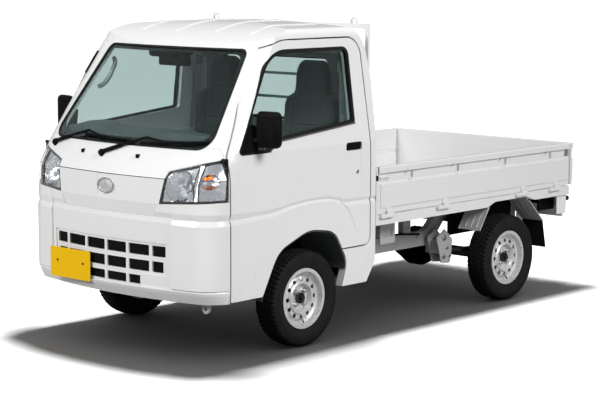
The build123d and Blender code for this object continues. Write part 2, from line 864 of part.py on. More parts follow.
# Seats: a cushion and a high back each
cushion_profile = [
    Corner(-996.0, seat_base_z + fit, 20.0),
    Corner(-1000.0, 850.0, 50.0),
    Corner(-491.7, 830.0, 12.0),
    Corner(-503.9, seat_base_z + fit, 6.0),
]
back_profile = [
    Corner(-501.0, 730.0, 8.0),
    Corner(-438.0, 1380.0, 20.0),
    Corner(-438.0, 1560.0, 30.0),
    Corner(-365.0, 1560.0, 30.0),
    Corner(-350.0, 1380.0, 10.0),
    Corner(-395.0, 730.0, 30.0),
]
back_outline = [
    Corner(-225.0, 700.0, 20.0),
    Corner(225.0, 700.0, 20.0),
    Corner(205.0, 1320.0, 70.0),
    Corner(130.0, 1370.0, 40.0),
    Corner(120.0, 1700.0, 0.0),
    Corner(-120.0, 1700.0, 0.0),
    Corner(-130.0, 1370.0, 40.0),
    Corner(-205.0, 1320.0, 70.0),
]
with BuildPart() as cushion:
    add(side_prism(cushion_profile, seat_x - seat_half_width, seat_x + seat_half_width))
finish_both("seat_cushions", cushion.part)

with BuildPart() as seat_back:
    add(side_prism(back_profile, seat_x - seat_half_width, seat_x + seat_half_width))
    shifted = [Corner(corner.u + seat_x, corner.v, corner.radius) for corner in back_outline]
    add(front_prism(shifted, -700.0, -300.0), mode=Mode.INTERSECT)
finish_both("seat_backs", seat_back.part)

# Wipers, washer nozzles, interior mirror, antenna
Wiper = namedtuple("Wiper", "x z tip_x tip_z")
wipers_table = [Wiper(-500.0, 1100.0, 60.0, 1180.0), Wiper(-106.0, 1070.0, 460.0, 1170.0)]
wiper_stand = 16.0


def wiper_arm(wiper):
    # One arm with its blade, a strip that follows the cowl and the glass.
    arm = [
        Corner(wiper.x - 14.0, wiper.z - 10.0, 6.0),
        Corner(wiper.x + 14.0, wiper.z - 14.0, 6.0),
        Corner(wiper.tip_x, wiper.tip_z - 6.0, 4.0),
        Corner(wiper.tip_x, wiper.tip_z + 6.0, 4.0),
        Corner(wiper.x - 10.0, wiper.z + 14.0, 6.0),
    ]
    with BuildPart() as strip:
        add(cab_shell(-wiper_stand, -fit))
        add(front_prism(arm, -1750.0, -1300.0), mode=Mode.INTERSECT)
    return strip.part


with BuildPart() as wipers:
    for wiper in wipers_table:
        add(wiper_arm(wiper))
finish("wipers", wipers.part)

with BuildPart() as roof_mirror:
    block(-8.0, 8.0, -1172.0, -1156.0, 1560.0, 1640.0)
    block(-110.0, 110.0, -1178.0, -1152.0, 1520.0, 1580.0)
    fillet(roof_mirror.edges().filter_by(Axis.Y), 3.0)
    add(roof_panel.part, mode=Mode.SUBTRACT)
finish("roof_mirror", roof_mirror.part)

# Blank number plate on its bracket, and the pillar antenna
plate_x = -279.0
plate_z = 450.0
plate_width = 330.0
plate_height = 165.0
with BuildPart() as number_plate:
    block(
        plate_x - plate_width / 2, plate_x + plate_width / 2, front_end, front_end + 2.0,
        plate_z - plate_height / 2, plate_z + plate_height / 2,
    )
    fillet(number_plate.edges().filter_by(Axis.Y), 10.0)
    for stud_x in (plate_x - 105.0, plate_x + 105.0):
        block(stud_x - 12.0, stud_x + 12.0, front_end + 2.0, -1640.0, 450.0, 468.0)
    add(cab_form(recess_depth), mode=Mode.SUBTRACT)
    add(front_bumper.part, mode=Mode.SUBTRACT)
finish("number_plate", number_plate.part)

antenna_low = (-658.0, -1240.0, 1465.0)
antenna_high = (-643.0, -1157.0, 1585.0)
with BuildPart() as antenna:
    with BuildLine():
        Line(antenna_low, antenna_high)
    with BuildSketch(Plane(origin=antenna_low, z_dir=(15.0, 83.0, 120.0))):
        Circle(6.0)
    sweep()
    add(forms[0.0], mode=Mode.SUBTRACT)
finish("antenna", antenna.part)

# Ladder frame: two rails that kick up over the rear axle, with cross members
rail_line = [
    Corner(-1560.0, rail_low_z, 0.0),
    Corner(640.0, rail_low_z, 90.0),
    Corner(800.0, kick_low_z, 90.0),
    Corner(rail_end_y, kick_low_z, 0.0),
    Corner(rail_end_y, cross_member_z, 0.0),
    Corner(760.0, cross_member_z, 90.0),
    Corner(590.0, rail_high_z, 90.0),
    Corner(-1560.0, rail_high_z, 0.0),
]
frame_cross_y = [-1520.0, -250.0, 360.0, 620.0]
rear_cross_y = [860.0, 1180.0, 1560.0]
rail_joint_y = riser_y + 20.0
with BuildPart() as ladder_frame:
    for side in (-1, 1):
        inner = min(side * rail_inner_x, side * rail_outer_x)
        add(side_prism(rail_line, inner, inner + rail_outer_x - rail_inner_x))
    block(-500.0, 500.0, -1700.0, rail_joint_y, foot_z - fit, 500.0, Mode.SUBTRACT)
    block(-500.0, 500.0, rail_joint_y - fit, rail_joint_y, 300.0, 500.0, Mode.SUBTRACT)
    tie_x = rail_inner_x - fit
    for cross_y in frame_cross_y:
        block(-tie_x, tie_x, cross_y, cross_y + 50.0, 372.0, 392.0)
    for cross_y in rear_cross_y:
        block(-tie_x, tie_x, cross_y, cross_y + 50.0, 552.0, 602.0)
finish("ladder_frame", ladder_frame.part)

# Stands between the frame rails and the bed, front pair boxed with a window
with BuildPart() as bed_stands:
    for side in (-1, 1):
        inner = min(side * rail_inner_x, side * 620.0)
        block(inner, inner + 262.0, -115.0, 20.0, 505.0, 560.0)
        inner = min(side * rail_inner_x, side * rail_outer_x)
        block(inner, inner + 42.0, -200.0, 20.0, rail_high_z + fit, cross_member_z)
        block(inner, inner + 42.0, 370.0, 440.0, rail_high_z + fit, cross_member_z)
        inner = min(side * 612.0, side * 620.0)
        block(inner, inner + 8.0, -115.0, 20.0, 470.0, cross_member_z)
        with Locations((side * 616.0, -48.0, 531.0)):
            Box(12.0, 90.0, 40.0, mode=Mode.SUBTRACT)

# Cross member under the front axle line, with the steering rack
with BuildPart() as front_cross_member:
    block(-rail_outer_x, rail_outer_x, -905.0, -833.0, 300.0, rail_low_z - fit)
    block(-380.0, 380.0, -1000.0, -970.0, 316.0, 346.0)
    for side in (-1, 1):
        inner = min(side * 340.0, side * 380.0)
        block(inner, inner + 40.0, -1000.0, -833.0, 330.0, rail_low_z - fit)

# Brackets of the leaf springs
with BuildPart() as spring_brackets:
    for side in (-1, 1):
        bracket = [
            Corner(560.0, 420.0, 0.0),
            Corner(608.0, 262.0, 20.0),
            Corner(700.0, 252.0, 20.0),
            Corner(716.0, 400.0, 0.0),
            Corner(640.0, 470.0, 0.0),
        ]
        inner_plate = min(side * 430.0, side * 438.0)
        outer_plate = min(side * 502.0, side * 510.0)
        add(side_prism(bracket, inner_plate, inner_plate + 8.0))
        add(side_prism(bracket, outer_plate, outer_plate + 8.0))
        middle = min(side * (rail_outer_x + fit), side * 510.0)
        block(middle, middle + 110.0 - fit, 590.0, 626.0, 320.0, 400.0)
        rear_inner = min(side * 430.0, side * 438.0)
        rear_outer = min(side * 502.0, side * 510.0)
        block(rear_inner, rear_inner + 8.0, 1400.0, 1480.0, 380.0, 560.0)
        block(rear_outer, rear_outer + 8.0, 1400.0, 1480.0, 380.0, 560.0)
        block(middle, middle + 110.0 - fit, 1400.0, 1480.0, 548.0, 600.0)

# Tow eye below the bumper's left corner
tow_eye_x = 622.0
tow_eye_z = 294.0
tow_eye_y = -1530.0
with BuildPart() as tow_eye:
    block(rail_outer_x + fit, 650.0, tow_eye_y - 14.0, tow_eye_y, 366.0, 392.0)
    block(596.0, 650.0, tow_eye_y - 14.0, tow_eye_y, tow_eye_z, 392.0)
    with BuildSketch(Plane.XZ.offset(-tow_eye_y)):
        with Locations((tow_eye_x, tow_eye_z)):
            Circle(27.0)
    extrude(amount=14.0)
    with BuildSketch(Plane.XZ.offset(-tow_eye_y)):
        with Locations((tow_eye_x, tow_eye_z)):
            Circle(12.0)
    extrude(amount=14.0, mode=Mode.SUBTRACT)

with BuildPart() as frame_brackets:
    add(bed_stands.part)
    add(front_cross_member.part)
    add(spring_brackets.part)
    add(tow_eye.part)
    add(ladder_frame.part, mode=Mode.SUBTRACT)
finish("frame_brackets", frame_brackets.part)

# Bed: floor on cross beams, side rails that carry the gates' hinges
side_rail = [
    Corner(gate_front_y, 612.0, 0.0),
    Corner(770.0, 612.0, 60.0),
    Corner(850.0, 640.0, 60.0),
    Corner(1190.0, 640.0, 60.0),
    Corner(1270.0, 612.0, 60.0),
    Corner(gate_rear_y, 612.0, 0.0),
    Corner(gate_rear_y, 668.0, 0.0),
    Corner(gate_front_y, 668.0, 0.0),
]
beam_places = [-250.0, 60.0, 380.0, 700.0, 1290.0, 1560.0]
rib_places = [-600.0, -400.0, -200.0, 0.0, 200.0, 400.0, 600.0]
with BuildPart() as bed_floor:
    block(
        -gate_inner_x, gate_inner_x, gate_front_y, gate_rear_y,
        bed_floor_z - bed_floor_sheet, bed_floor_z,
    )
    for rib_x in rib_places:
        block(rib_x - 30.0, rib_x + 30.0, -250.0, 1630.0, bed_floor_z, bed_floor_z + 6.0)
    for side in (-1, 1):
        inner = min(side * gate_inner_x, side * 736.0)
        add(side_prism(side_rail, inner, inner + 736.0 - gate_inner_x))
    for beam_y in beam_places:
        block(-700.0, 700.0, beam_y, beam_y + 50.0, cross_member_z, bed_floor_z - bed_floor_sheet)
    block(-714.0, 714.0, gate_rear_y - 30.0, gate_rear_y, 560.0, 640.0)
finish("bed_floor", bed_floor.part)

with BuildPart() as bed_front_wall:
    block(
        -gate_outer_x, gate_outer_x, bed_wall_y - bed_wall_depth / 2,
        bed_wall_y + bed_wall_depth / 2 + 2.7, 612.0, gate_top_z,
    )
    block(
        -690.0, 690.0, bed_wall_y - bed_wall_depth / 2, bed_wall_y - bed_wall_depth / 2 + 5.0,
        690.0, 900.0, Mode.SUBTRACT,
    )
finish("bed_front_wall", bed_front_wall.part)

# Guard frame behind the cab: posts, top tube with rope hooks, and bars over the window
guard_x = 652.0
guard_top_z = 1752.0
guard_y = bed_wall_y + 3.0
with BuildPart() as guard_frame:
    with BuildSketch(Plane.XY.offset(gate_top_z)):
        with Locations((-guard_x, guard_y), (guard_x, guard_y)):
            RectangleRounded(26.0, 15.0, 4.0)
    extrude(amount=guard_top_z - gate_top_z)
    block(-guard_x, guard_x, guard_y - 7.5, guard_y + 7.5, guard_top_z - 26.0, guard_top_z)
    for bar_z in (1160.0, 1300.0, 1440.0, 1580.0):
        block(-guard_x, guard_x, guard_y - 5.0, guard_y + 5.0, bar_z, bar_z + 16.0)
    for hook_x in (-551.0, 551.0):
        with BuildSketch(Plane.XZ.offset(-guard_y)):
            with Locations((hook_x, guard_top_z)):
                Trapezoid(64.0, 36.0, 66.0, align=(Align.CENTER, Align.MIN))
        extrude(amount=5.0, both=True)
        with Locations((hook_x, guard_y, guard_top_z + 12.0)):
            Box(30.0, 20.0, 24.0, mode=Mode.SUBTRACT)
finish("guard_frame", guard_frame.part)

# Side gate: a rolled profile with top rail, hook band and bulged panel, and hinge knuckles
gate_profile = [
    Corner(gate_inner_x, gate_bottom_z, 0.0),
    Corner(gate_outer_x - 6.0, gate_bottom_z, 0.0),
    Corner(gate_outer_x - 6.0, 700.0, 0.0),
    Corner(gate_outer_x, 712.0, 0.0),
    Corner(gate_outer_x, 842.0, 0.0),
    Corner(gate_outer_x - 12.0, 856.0, 0.0),
    Corner(gate_outer_x - 12.0, 904.0, 0.0),
    Corner(gate_outer_x + 2.0, 907.0, 2.0),
    Corner(gate_outer_x + 2.0, gate_top_z, 8.0),
    Corner(gate_inner_x, gate_top_z, 4.0),
    Corner(gate_inner_x, 804.0, 0.0),
    Corner(gate_inner_x + 6.0, 798.0, 0.0),
    Corner(gate_inner_x + 6.0, 782.0, 0.0),
    Corner(gate_inner_x, 776.0, 0.0),
]
side_hinge_places = [-205.0, 318.0, 1115.0, 1476.0]
hinge_length = 58.0
gate_border = 27.0
with BuildPart() as side_gate:
    add(front_prism(gate_profile, gate_front_y + 6.0, gate_rear_y - 2.0))
    for hinge_y in side_hinge_places:
        with BuildSketch(Plane.XZ.offset(-hinge_y)):
            with Locations((gate_pin_x, gate_pin_z)):
                Circle(knuckle_radius)
        extrude(amount=-hinge_length)
        block(
            gate_outer_x - 6.0, gate_pin_x + 4.0, hinge_y, hinge_y + hinge_length,
            gate_bottom_z, 690.0,
        )
        block(
            gate_pin_x - 4.0, gate_pin_x + 4.0, hinge_y, hinge_y + hinge_length,
            gate_pin_z, 690.0,
        )
    for end_y in (gate_front_y, gate_rear_y - gate_border):
        block(
            gate_outer_x - 5.0, gate_outer_x + 1.0, end_y, end_y + gate_border,
            700.0, 850.0, Mode.SUBTRACT,
        )
finish_pair("side_gate", side_gate.part)

# Fixed hinge knuckles beside the moving ones
with BuildPart() as gate_hinges:
    for side in (-1, 1):
        for hinge_y in side_hinge_places:
            with BuildSketch(Plane.XZ.offset(-hinge_y + fit)):
                with Locations((side * gate_pin_x, gate_pin_z)):
                    Circle(knuckle_radius)
            extrude(amount=hinge_length)
            inner = min(side * 736.0, side * gate_pin_x)
            block(
                inner, inner + gate_pin_x - 736.0, hinge_y - fit - hinge_length, hinge_y - fit,
                656.0, 668.0,
            )
    for hinge_x in (-520.0, 0.0, 520.0):
        block(
            hinge_x - fit - hinge_length, hinge_x - fit, gate_rear_y, gate_pin_y - 3.0,
            654.0, 664.0,
        )
        with BuildSketch(Plane.YZ.offset(hinge_x - fit)):
            with Locations((gate_pin_y - 3.0, gate_pin_z)):
                Circle(knuckle_radius)
        extrude(amount=-hinge_length)
    add(bed_floor.part, mode=Mode.SUBTRACT)
finish("gate_hinges", gate_hinges.part)

tailgate_profile = [
    Corner(tailgate_inner_y, gate_bottom_z, 0.0),
    Corner(tailgate_outer_y - 6.0, gate_bottom_z, 0.0),
    Corner(tailgate_outer_y - 6.0, 700.0, 0.0),
    Corner(tailgate_outer_y, 712.0, 0.0),
    Corner(tailgate_outer_y, 842.0, 0.0),
    Corner(tailgate_outer_y - 12.0, 856.0, 0.0),
    Corner(tailgate_outer_y - 12.0, 904.0, 0.0),
    Corner(tailgate_outer_y + 2.0, 907.0, 2.0),
    Corner(tailgate_outer_y + 2.0, gate_top_z, 8.0),
    Corner(tailgate_inner_y, gate_top_z, 4.0),
]
with BuildPart() as tailgate:
    add(side_prism(tailgate_profile, -gate_outer_x, gate_outer_x))
    for hinge_x in (-520.0, 0.0, 520.0):
        with BuildSketch(Plane.YZ.offset(hinge_x)):
            with Locations((gate_pin_y - 3.0, gate_pin_z)):
                Circle(knuckle_radius)
        extrude(amount=hinge_length)
        block(hinge_x, hinge_x + hinge_length, 1683.0, 1693.0, gate_pin_z, 690.0)
finish("tailgate", tailgate.part)

# Wheels: pressed steel rim and disc with hand holes, and the tyre round it
def wheel_plane(wheel_x, wheel_y):
    # Local x runs outboard along the axle, local y is up.
    return Plane(origin=(wheel_x, wheel_y, axle_z), x_dir=(1, 0, 0), z_dir=(0, -1, 0))


def rim(wheel_x, wheel_y):
    half = rim_half_width
    sheet = rim_sheet
    with BuildPart() as wheel:
        with BuildSketch(wheel_plane(wheel_x, wheel_y)):
            with BuildLine() as barrel:
                Polyline(
                    (-half, rim_flange_radius), (-half + sheet + 2, rim_flange_radius),
                    (-half + sheet + 2, bead_seat_radius), (-30, bead_seat_radius - 2),
                    (-22, rim_well_radius), (14, rim_well_radius), (24, bead_seat_radius - 2),
                    (half - sheet - 2, bead_seat_radius), (half - sheet - 2, rim_flange_radius),
                    (half, rim_flange_radius), (half, bead_seat_radius - sheet),
                    (26, bead_seat_radius - sheet - 2), (16, rim_well_radius - sheet),
                    (-24, rim_well_radius - sheet), (-32, bead_seat_radius - sheet - 2),
                    (-half, bead_seat_radius - sheet), (-half, rim_flange_radius),
                )
            make_face(barrel.edges())
            with BuildLine() as disc:
                Polyline(
                    (0, rim_well_radius - sheet), (14, rim_well_radius - sheet),
                    (27, 122), (33, 112), (33, 96), (40, 88), (40, 80), (26, 70),
                    (disc_face + disc_sheet, 66), (disc_face + disc_sheet, hub_bore_radius),
                    (disc_face, hub_bore_radius), (disc_face, 70), (22, 74), (35, 83),
                    (35, 86), (28, 94), (28, 110), (22, 118), (10, rim_well_radius - sheet - 4),
                    (0, rim_well_radius - sheet - 4), (0, rim_well_radius - sheet),
                )
            make_face(disc.edges())
        revolve(axis=Axis((wheel_x, wheel_y, axle_z), (1, 0, 0)))
        hole_plane = Plane(
            origin=(wheel_x + 15.0, wheel_y, axle_z), x_dir=(0, 1, 0), z_dir=(1, 0, 0)
        )
        with BuildSketch(hole_plane):
            with PolarLocations(hand_hole_circle, hand_hole_count):
                Circle(hand_hole_radius)
        extrude(amount=40.0, mode=Mode.SUBTRACT)
    return wheel.part


def tyre(wheel_x, wheel_y):
    half = tyre_half_width
    with BuildPart() as ring:
        with BuildSketch(wheel_plane(wheel_x, wheel_y)):
            with BuildLine() as section:
                Polyline(
                    (-half + 12, tyre_radius - 6), (-half + 5, tyre_radius - 18),
                    (-half, 222), (-51, rim_flange_radius - 1), (-51, bead_seat_radius + fit),
                    (51, bead_seat_radius + fit), (51, rim_flange_radius - 1), (half, 222),
                    (half - 5, tyre_radius - 18), (half - 12, tyre_radius - 6),
                )
                ThreePointArc(
                    (half - 12, tyre_radius - 6), (0, tyre_radius), (-half + 12, tyre_radius - 6)
                )
            make_face(section.edges())
        revolve(axis=Axis((wheel_x, wheel_y, axle_z), (1, 0, 0)))
    return ring.part


finish_pair("rim_front", rim(front_wheel_x, front_axle_y))
finish_pair("rim_rear", rim(rear_wheel_x, rear_axle_y))
finish_pair("tyre_front", tyre(front_wheel_x, front_axle_y))
finish_pair("tyre_rear", tyre(rear_wheel_x, rear_axle_y))

# Steering knuckle: hub, brake disc, upright and the lower lug round the ball stud
kingpin_x = front_wheel_x
hub_plane = Plane(origin=(front_wheel_x, front_axle_y, axle_z), x_dir=(0, 1, 0), z_dir=(1, 0, 0))
stud_radius = 9.0
lug_low_z = 180.0
with BuildPart() as knuckle:
    with BuildSketch(hub_plane.offset(-50.0)):
        Circle(34.0)
    extrude(amount=50.0 + disc_face - fit)
    with BuildSketch(hub_plane.offset(disc_face - fit)):
        Circle(hub_bore_radius - 1.0)
    extrude(amount=22.0)
    with BuildSketch(hub_plane.offset(disc_face - 8.0)):
        Circle(62.0)
    extrude(amount=8.0 - fit)
    with BuildSketch(hub_plane.offset(-16.0)):
        Circle(80.0)
    extrude(amount=9.0)
    block(
        kingpin_x - 42.0, kingpin_x - 20.0, front_axle_y - 26.0, front_axle_y + 26.0,
        lug_low_z, axle_z + 80.0,
    )
    block(
        kingpin_x - 42.0, kingpin_x + 14.0, front_axle_y - 20.0, front_axle_y + 20.0,
        lug_low_z, lug_low_z + 7.0,
    )
    with BuildSketch(Plane.XY.offset(lug_low_z)):
        with Locations((kingpin_x, front_axle_y)):
            Circle(stud_radius + 0.1)
    extrude(amount=7.0, mode=Mode.SUBTRACT)
finish_pair("knuckle", knuckle.part)

# Front suspension: lower arms with ball studs, struts up to the deck, cross member
strut_x = 497.0
with BuildPart() as front_suspension:
    block(
        rail_outer_x + fit, kingpin_x + 13.0, front_axle_y - 15.0, front_axle_y + 15.0,
        163.0, 176.0,
    )
    with BuildSketch(Plane.XY.offset(170.0)):
        with Locations((kingpin_x, front_axle_y)):
            Circle(stud_radius)
    extrude(amount=17.0)
    with BuildSketch(Plane.XY.offset(170.0)):
        with Locations((strut_x, front_axle_y)):
            Circle(22.0)
    extrude(amount=deck_z - fit - 170.0)
    with BuildSketch(Plane.XY.offset(575.0)):
        with Locations((strut_x, front_axle_y)):
            Circle(52.0)
    extrude(amount=deck_z - fit - 575.0)
    block(
        rail_outer_x + fit, strut_x, front_axle_y - 60.0, front_axle_y + 60.0, 163.0, 176.0,
    )
    block(rail_outer_x + fit, 412.0, front_axle_y - 60.0, front_axle_y + 60.0, 163.0, 440.0)
finish_both("front_suspension", front_suspension.part)

# Drive line: engine under the seats, gearbox, prop shaft, exhaust, tank
with BuildPart() as engine_block:
    block(-190.0, 210.0, -760.0, -345.0, 300.0, 640.0)
    block(-110.0, 110.0, -345.0, 40.0, 330.0, 371.0)
    block(-110.0, 110.0, -345.0, 40.0, 392.5, 470.0)
    block(-110.0, 110.0, -196.0, 40.0, 371.0, 392.5)
finish("engine_block", engine_block.part)

with BuildPart() as prop_shaft:
    with BuildSketch(Plane.XZ.offset(-40.0)):
        with Locations((0, 352.0)):
            Circle(30.0)
    with BuildSketch(Plane.XZ.offset(-(rear_axle_y - 110.0))):
        with Locations((0, 300.0)):
            Circle(30.0)
    loft()
finish("prop_shaft", prop_shaft.part)

drum_radius = 112.0
with BuildPart() as rear_axle:
    with BuildSketch(wheel_plane(0.0, rear_axle_y)):
        with BuildLine() as half_section:
            Polyline(
                (-106.0, 32.0), (-604.0, 32.0), (-604.0, drum_radius), (-645.0, drum_radius),
                (-645.0, 60.0), (-rear_wheel_x - disc_face + fit, 60.0),
                (-rear_wheel_x - disc_face + fit, hub_bore_radius - 1.0),
                (-682.0, hub_bore_radius - 1.0), (-682.0, 0.0), (682.0, 0.0),
                (682.0, hub_bore_radius - 1.0),
                (rear_wheel_x + disc_face - fit, hub_bore_radius - 1.0),
                (rear_wheel_x + disc_face - fit, 60.0), (645.0, 60.0),
                (645.0, drum_radius), (604.0, drum_radius), (604.0, 32.0), (106.0, 32.0),
            )
            ThreePointArc((106.0, 32.0), (0.0, 110.0), (-106.0, 32.0))
        make_face(half_section.edges())
    revolve(axis=Axis((0, rear_axle_y, axle_z), (1, 0, 0)))
finish("rear_axle", rear_axle.part)

# Leaf springs: curved leaves under brackets, three to a side
spring_x = 470.0
spring_half_width = 28.0
leaf_outline = [
    Corner(640.0, 338.0, 0.0),
    Corner(800.0, 318.0, 0.0),
    Corner(800.0, 310.0, 0.0),
    Corner(rear_axle_y, 301.0, 400.0),
    Corner(1262.0, 320.0, 0.0),
    Corner(1262.0, 328.0, 0.0),
    Corner(1450.0, 400.0, 0.0),
    Corner(1450.0, 408.0, 0.0),
    Corner(1262.0, 336.0, 400.0),
    Corner(rear_axle_y, 317.0, 400.0),
    Corner(800.0, 326.0, 400.0),
    Corner(640.0, 346.0, 0.0),
]
with BuildPart() as leaf_springs:
    for side in (-1, 1):
        x_low = side * spring_x - spring_half_width
        add(side_prism(leaf_outline, x_low, x_low + 2 * spring_half_width))
        block(
            x_low, x_low + 2 * spring_half_width, rear_axle_y - 40.0, rear_axle_y + 40.0,
            axle_z + 32.0 + fit, 308.0,
        )
finish("leaf_springs", leaf_springs.part)

with BuildPart() as fuel_tank:
    block(-rail_inner_x + fit, -130.0, 60.0, 340.0, 290.0, 440.0)
    fillet(fuel_tank.edges().filter_by(Axis.Y), 30.0)
finish("fuel_tank", fuel_tank.part)

with BuildPart() as exhaust:
    with BuildSketch(Plane.YZ.offset(-340.0)):
        with Locations((1420.0, 440.0)):
            RectangleRounded(150.0, 120.0, 50.0)
    extrude(amount=420.0)
    with BuildSketch(Plane.XZ.offset(-1480.0)):
        with Locations((-260.0, 430.0)):
            Circle(20.0)
    extrude(amount=-190.0)
    block(-rail_inner_x + fit, -330.0, 1410.0, 1430.0, 460.0, 560.0)
finish("exhaust", exhaust.part)

# Splash plates round the rear wheels, mud flaps, tail lamps, rear bar
with BuildPart() as splash_guard:
    front_plate = [
        Corner(811.0, 611.0, 0.0),
        Corner(717.0, 470.0, 0.0),
        Corner(713.0, 473.0, 0.0),
        Corner(806.0, 611.0, 0.0),
    ]
    rear_plate = [
        Corner(1227.0, 611.0, 0.0),
        Corner(1378.0, 466.0, 0.0),
        Corner(1384.0, 469.0, 0.0),
        Corner(1235.0, 611.0, 0.0),
    ]
    add(side_prism(front_plate, 560.0, 722.0))
    add(side_prism(rear_plate, 560.0, 722.0))
    block(560.0, gate_inner_x - 2.0, 801.0, 811.0, 604.0, bed_floor_z - bed_floor_sheet)
    block(560.0, gate_inner_x - 2.0, 1226.0, 1236.0, 604.0, bed_floor_z - bed_floor_sheet)
finish_both("splash_guards", splash_guard.part)

with BuildPart() as mud_flap:
    flap = [
        Corner(1378.0, 465.7, 0.0),
        Corner(1418.0, 290.0, 0.0),
        Corner(1424.0, 291.0, 0.0),
        Corner(1385.0, 465.7, 0.0),
    ]
    add(side_prism(flap, 566.0, 720.0))
finish_both("mud_flaps", mud_flap.part)

with BuildPart() as rear_bar:
    block(-716.0, 716.0, 1600.0, 1622.0, 470.0, kick_low_z)
    for side in (-1, 1):
        inner = min(side * 716.0, side * 722.0)
        block(inner, inner + 6.0, 1537.0, 1640.0, 490.0, 612.0)
        inner = min(side * 600.0, side * 722.0)
        block(inner, inner + 122.0, 1622.0, 1630.0, 500.0, 560.0)
finish("rear_bar", rear_bar.part)

with BuildPart() as tail_lamps:
    for side in (-1, 1):
        inner = min(side * 420.0, side * 590.0)
        block(inner, inner + 170.0, 1622.0, 1660.0, 485.0, 555.0)
    fillet(tail_lamps.edges().filter_by(Axis.Y), 8.0)
finish("tail_lamps", tail_lamps.part)

with BuildPart() as buffers:
    for side in (-1, 1):
        with BuildSketch(Plane.XZ.offset(-gate_rear_y - fit)):
            with Locations((side * 700.0, 582.0)):
                Circle(16.0)
        extrude(amount=-32.0)
finish("buffers", buffers.part)

os.makedirs("parts", exist_ok=True)
for name, solid in nodes.items():
    export_step(solid, f"parts/{name}.step")
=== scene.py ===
import json
import math

import bmesh
import bpy
from mathutils import Matrix, Vector

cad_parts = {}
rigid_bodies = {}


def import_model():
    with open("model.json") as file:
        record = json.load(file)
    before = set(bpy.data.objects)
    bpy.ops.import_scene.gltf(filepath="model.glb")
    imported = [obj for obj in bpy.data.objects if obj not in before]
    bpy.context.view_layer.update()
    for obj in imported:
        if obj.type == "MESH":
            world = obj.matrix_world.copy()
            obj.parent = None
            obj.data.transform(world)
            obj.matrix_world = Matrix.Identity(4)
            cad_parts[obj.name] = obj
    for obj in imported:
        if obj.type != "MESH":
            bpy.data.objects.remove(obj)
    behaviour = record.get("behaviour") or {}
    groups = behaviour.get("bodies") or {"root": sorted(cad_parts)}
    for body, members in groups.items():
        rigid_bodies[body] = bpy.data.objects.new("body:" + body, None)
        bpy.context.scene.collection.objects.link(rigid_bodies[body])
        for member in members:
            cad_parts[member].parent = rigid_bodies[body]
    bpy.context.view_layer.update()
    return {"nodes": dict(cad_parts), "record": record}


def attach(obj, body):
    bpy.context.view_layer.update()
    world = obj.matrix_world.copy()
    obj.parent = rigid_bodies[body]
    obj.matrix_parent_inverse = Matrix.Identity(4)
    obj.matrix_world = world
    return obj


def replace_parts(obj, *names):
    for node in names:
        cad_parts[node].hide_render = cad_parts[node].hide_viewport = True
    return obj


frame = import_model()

nodes = frame["nodes"]
print("frame loaded,", len(nodes), "nodes")


# ---- camera at the photograph's place
cameraPlace = {
    "place": (7.26965, -8.12596, 2.12106), "yaw": -42.2626, "pitch": -7.6118, "roll": 0.2199,
    "focalPixels": 1811.58, "imageWidth": 600.0, "sensorWidth": 36.0, "farClip": 200.0
}


def addCamera():
    yaw, pitch, roll = (math.radians(cameraPlace[key]) for key in ("yaw", "pitch", "roll"))
    forward = Vector((math.sin(yaw) * math.cos(pitch), math.cos(yaw) * math.cos(pitch), math.sin(pitch)))
    right = forward.cross(Vector((0, 0, 1))).normalized()
    up = right.cross(forward)
    turnedRight = right * math.cos(roll) + up * math.sin(roll)
    turnedUp = up * math.cos(roll) - right * math.sin(roll)
    turn = Matrix((turnedRight, turnedUp, -forward)).transposed()
    lens = bpy.data.cameras.new("camera")
    lens.sensor_width = cameraPlace["sensorWidth"]
    lens.lens = cameraPlace["focalPixels"] / cameraPlace["imageWidth"] * lens.sensor_width
    lens.clip_end = cameraPlace["farClip"]
    camera = bpy.data.objects.new("camera", lens)
    camera.matrix_world = Matrix.Translation(cameraPlace["place"]) @ turn.to_4x4()
    bpy.context.scene.collection.objects.link(camera)
    bpy.context.scene.camera = camera


addCamera()


# ---- node tools; "made" is the material or the world whose nodes are laid out
materials, slotOf, finishOfSlot = {}, {}, {}


def fill(made, target, source):
    # A socket takes another node's output, a colour or a number
    if isinstance(source, bpy.types.NodeSocket):
        made.node_tree.links.new(source, target)
    else:
        target.default_value = (*source, 1.0) if isinstance(source, tuple) else source


def addNode(made, kind, **values):
    # Values go to the sockets of that name, with _ for a space, or else to the node's settings
    added = made.node_tree.nodes.new(kind)
    for key, value in values.items():
        socket = key.replace("_", " ")
        if socket in added.inputs:
            fill(made, added.inputs[socket], value)
        else:
            setattr(added, key, value)
    return added


def shaderOf(made):
    return made.node_tree.nodes["Principled BSDF"]


def setShader(made, **sockets):
    for key, value in sockets.items():
        fill(made, shaderOf(made).inputs[key.replace("_", " ")], value)


def newMaterial(name, slotName, color, roughness, **sockets):
    made = bpy.data.materials.new(name)
    made.use_nodes = True
    setShader(made, Base_Color=color, Roughness=roughness, **sockets)
    materials[name] = made
    slotOf[name] = slotName
    finishOfSlot.setdefault(slotName, name)
    return made


def objectPoint(made):
    return addNode(made, "ShaderNodeTexCoord").outputs["Object"]


def heightOf(made, point):
    return addNode(made, "ShaderNodeSeparateXYZ", Vector=point).outputs["Z"]


def noiseOf(made, point, scale, detail=3.0, roughness=0.5):
    return addNode(
        made, "ShaderNodeTexNoise", Vector=point, Scale=scale, Detail=detail, Roughness=roughness
    ).outputs["Fac"]


def rangeOf(made, value, low, high, toLow=0.0, toHigh=1.0):
    return addNode(
        made, "ShaderNodeMapRange", Value=value, From_Min=low, From_Max=high, To_Min=toLow, To_Max=toHigh
    ).outputs["Result"]


def mixOf(made, factor, first, second):
    mixed = addNode(made, "ShaderNodeMix", data_type="RGBA")
    for index, source in ((0, factor), (6, first), (7, second)):
        fill(made, mixed.inputs[index], source)
    return mixed.outputs[2]


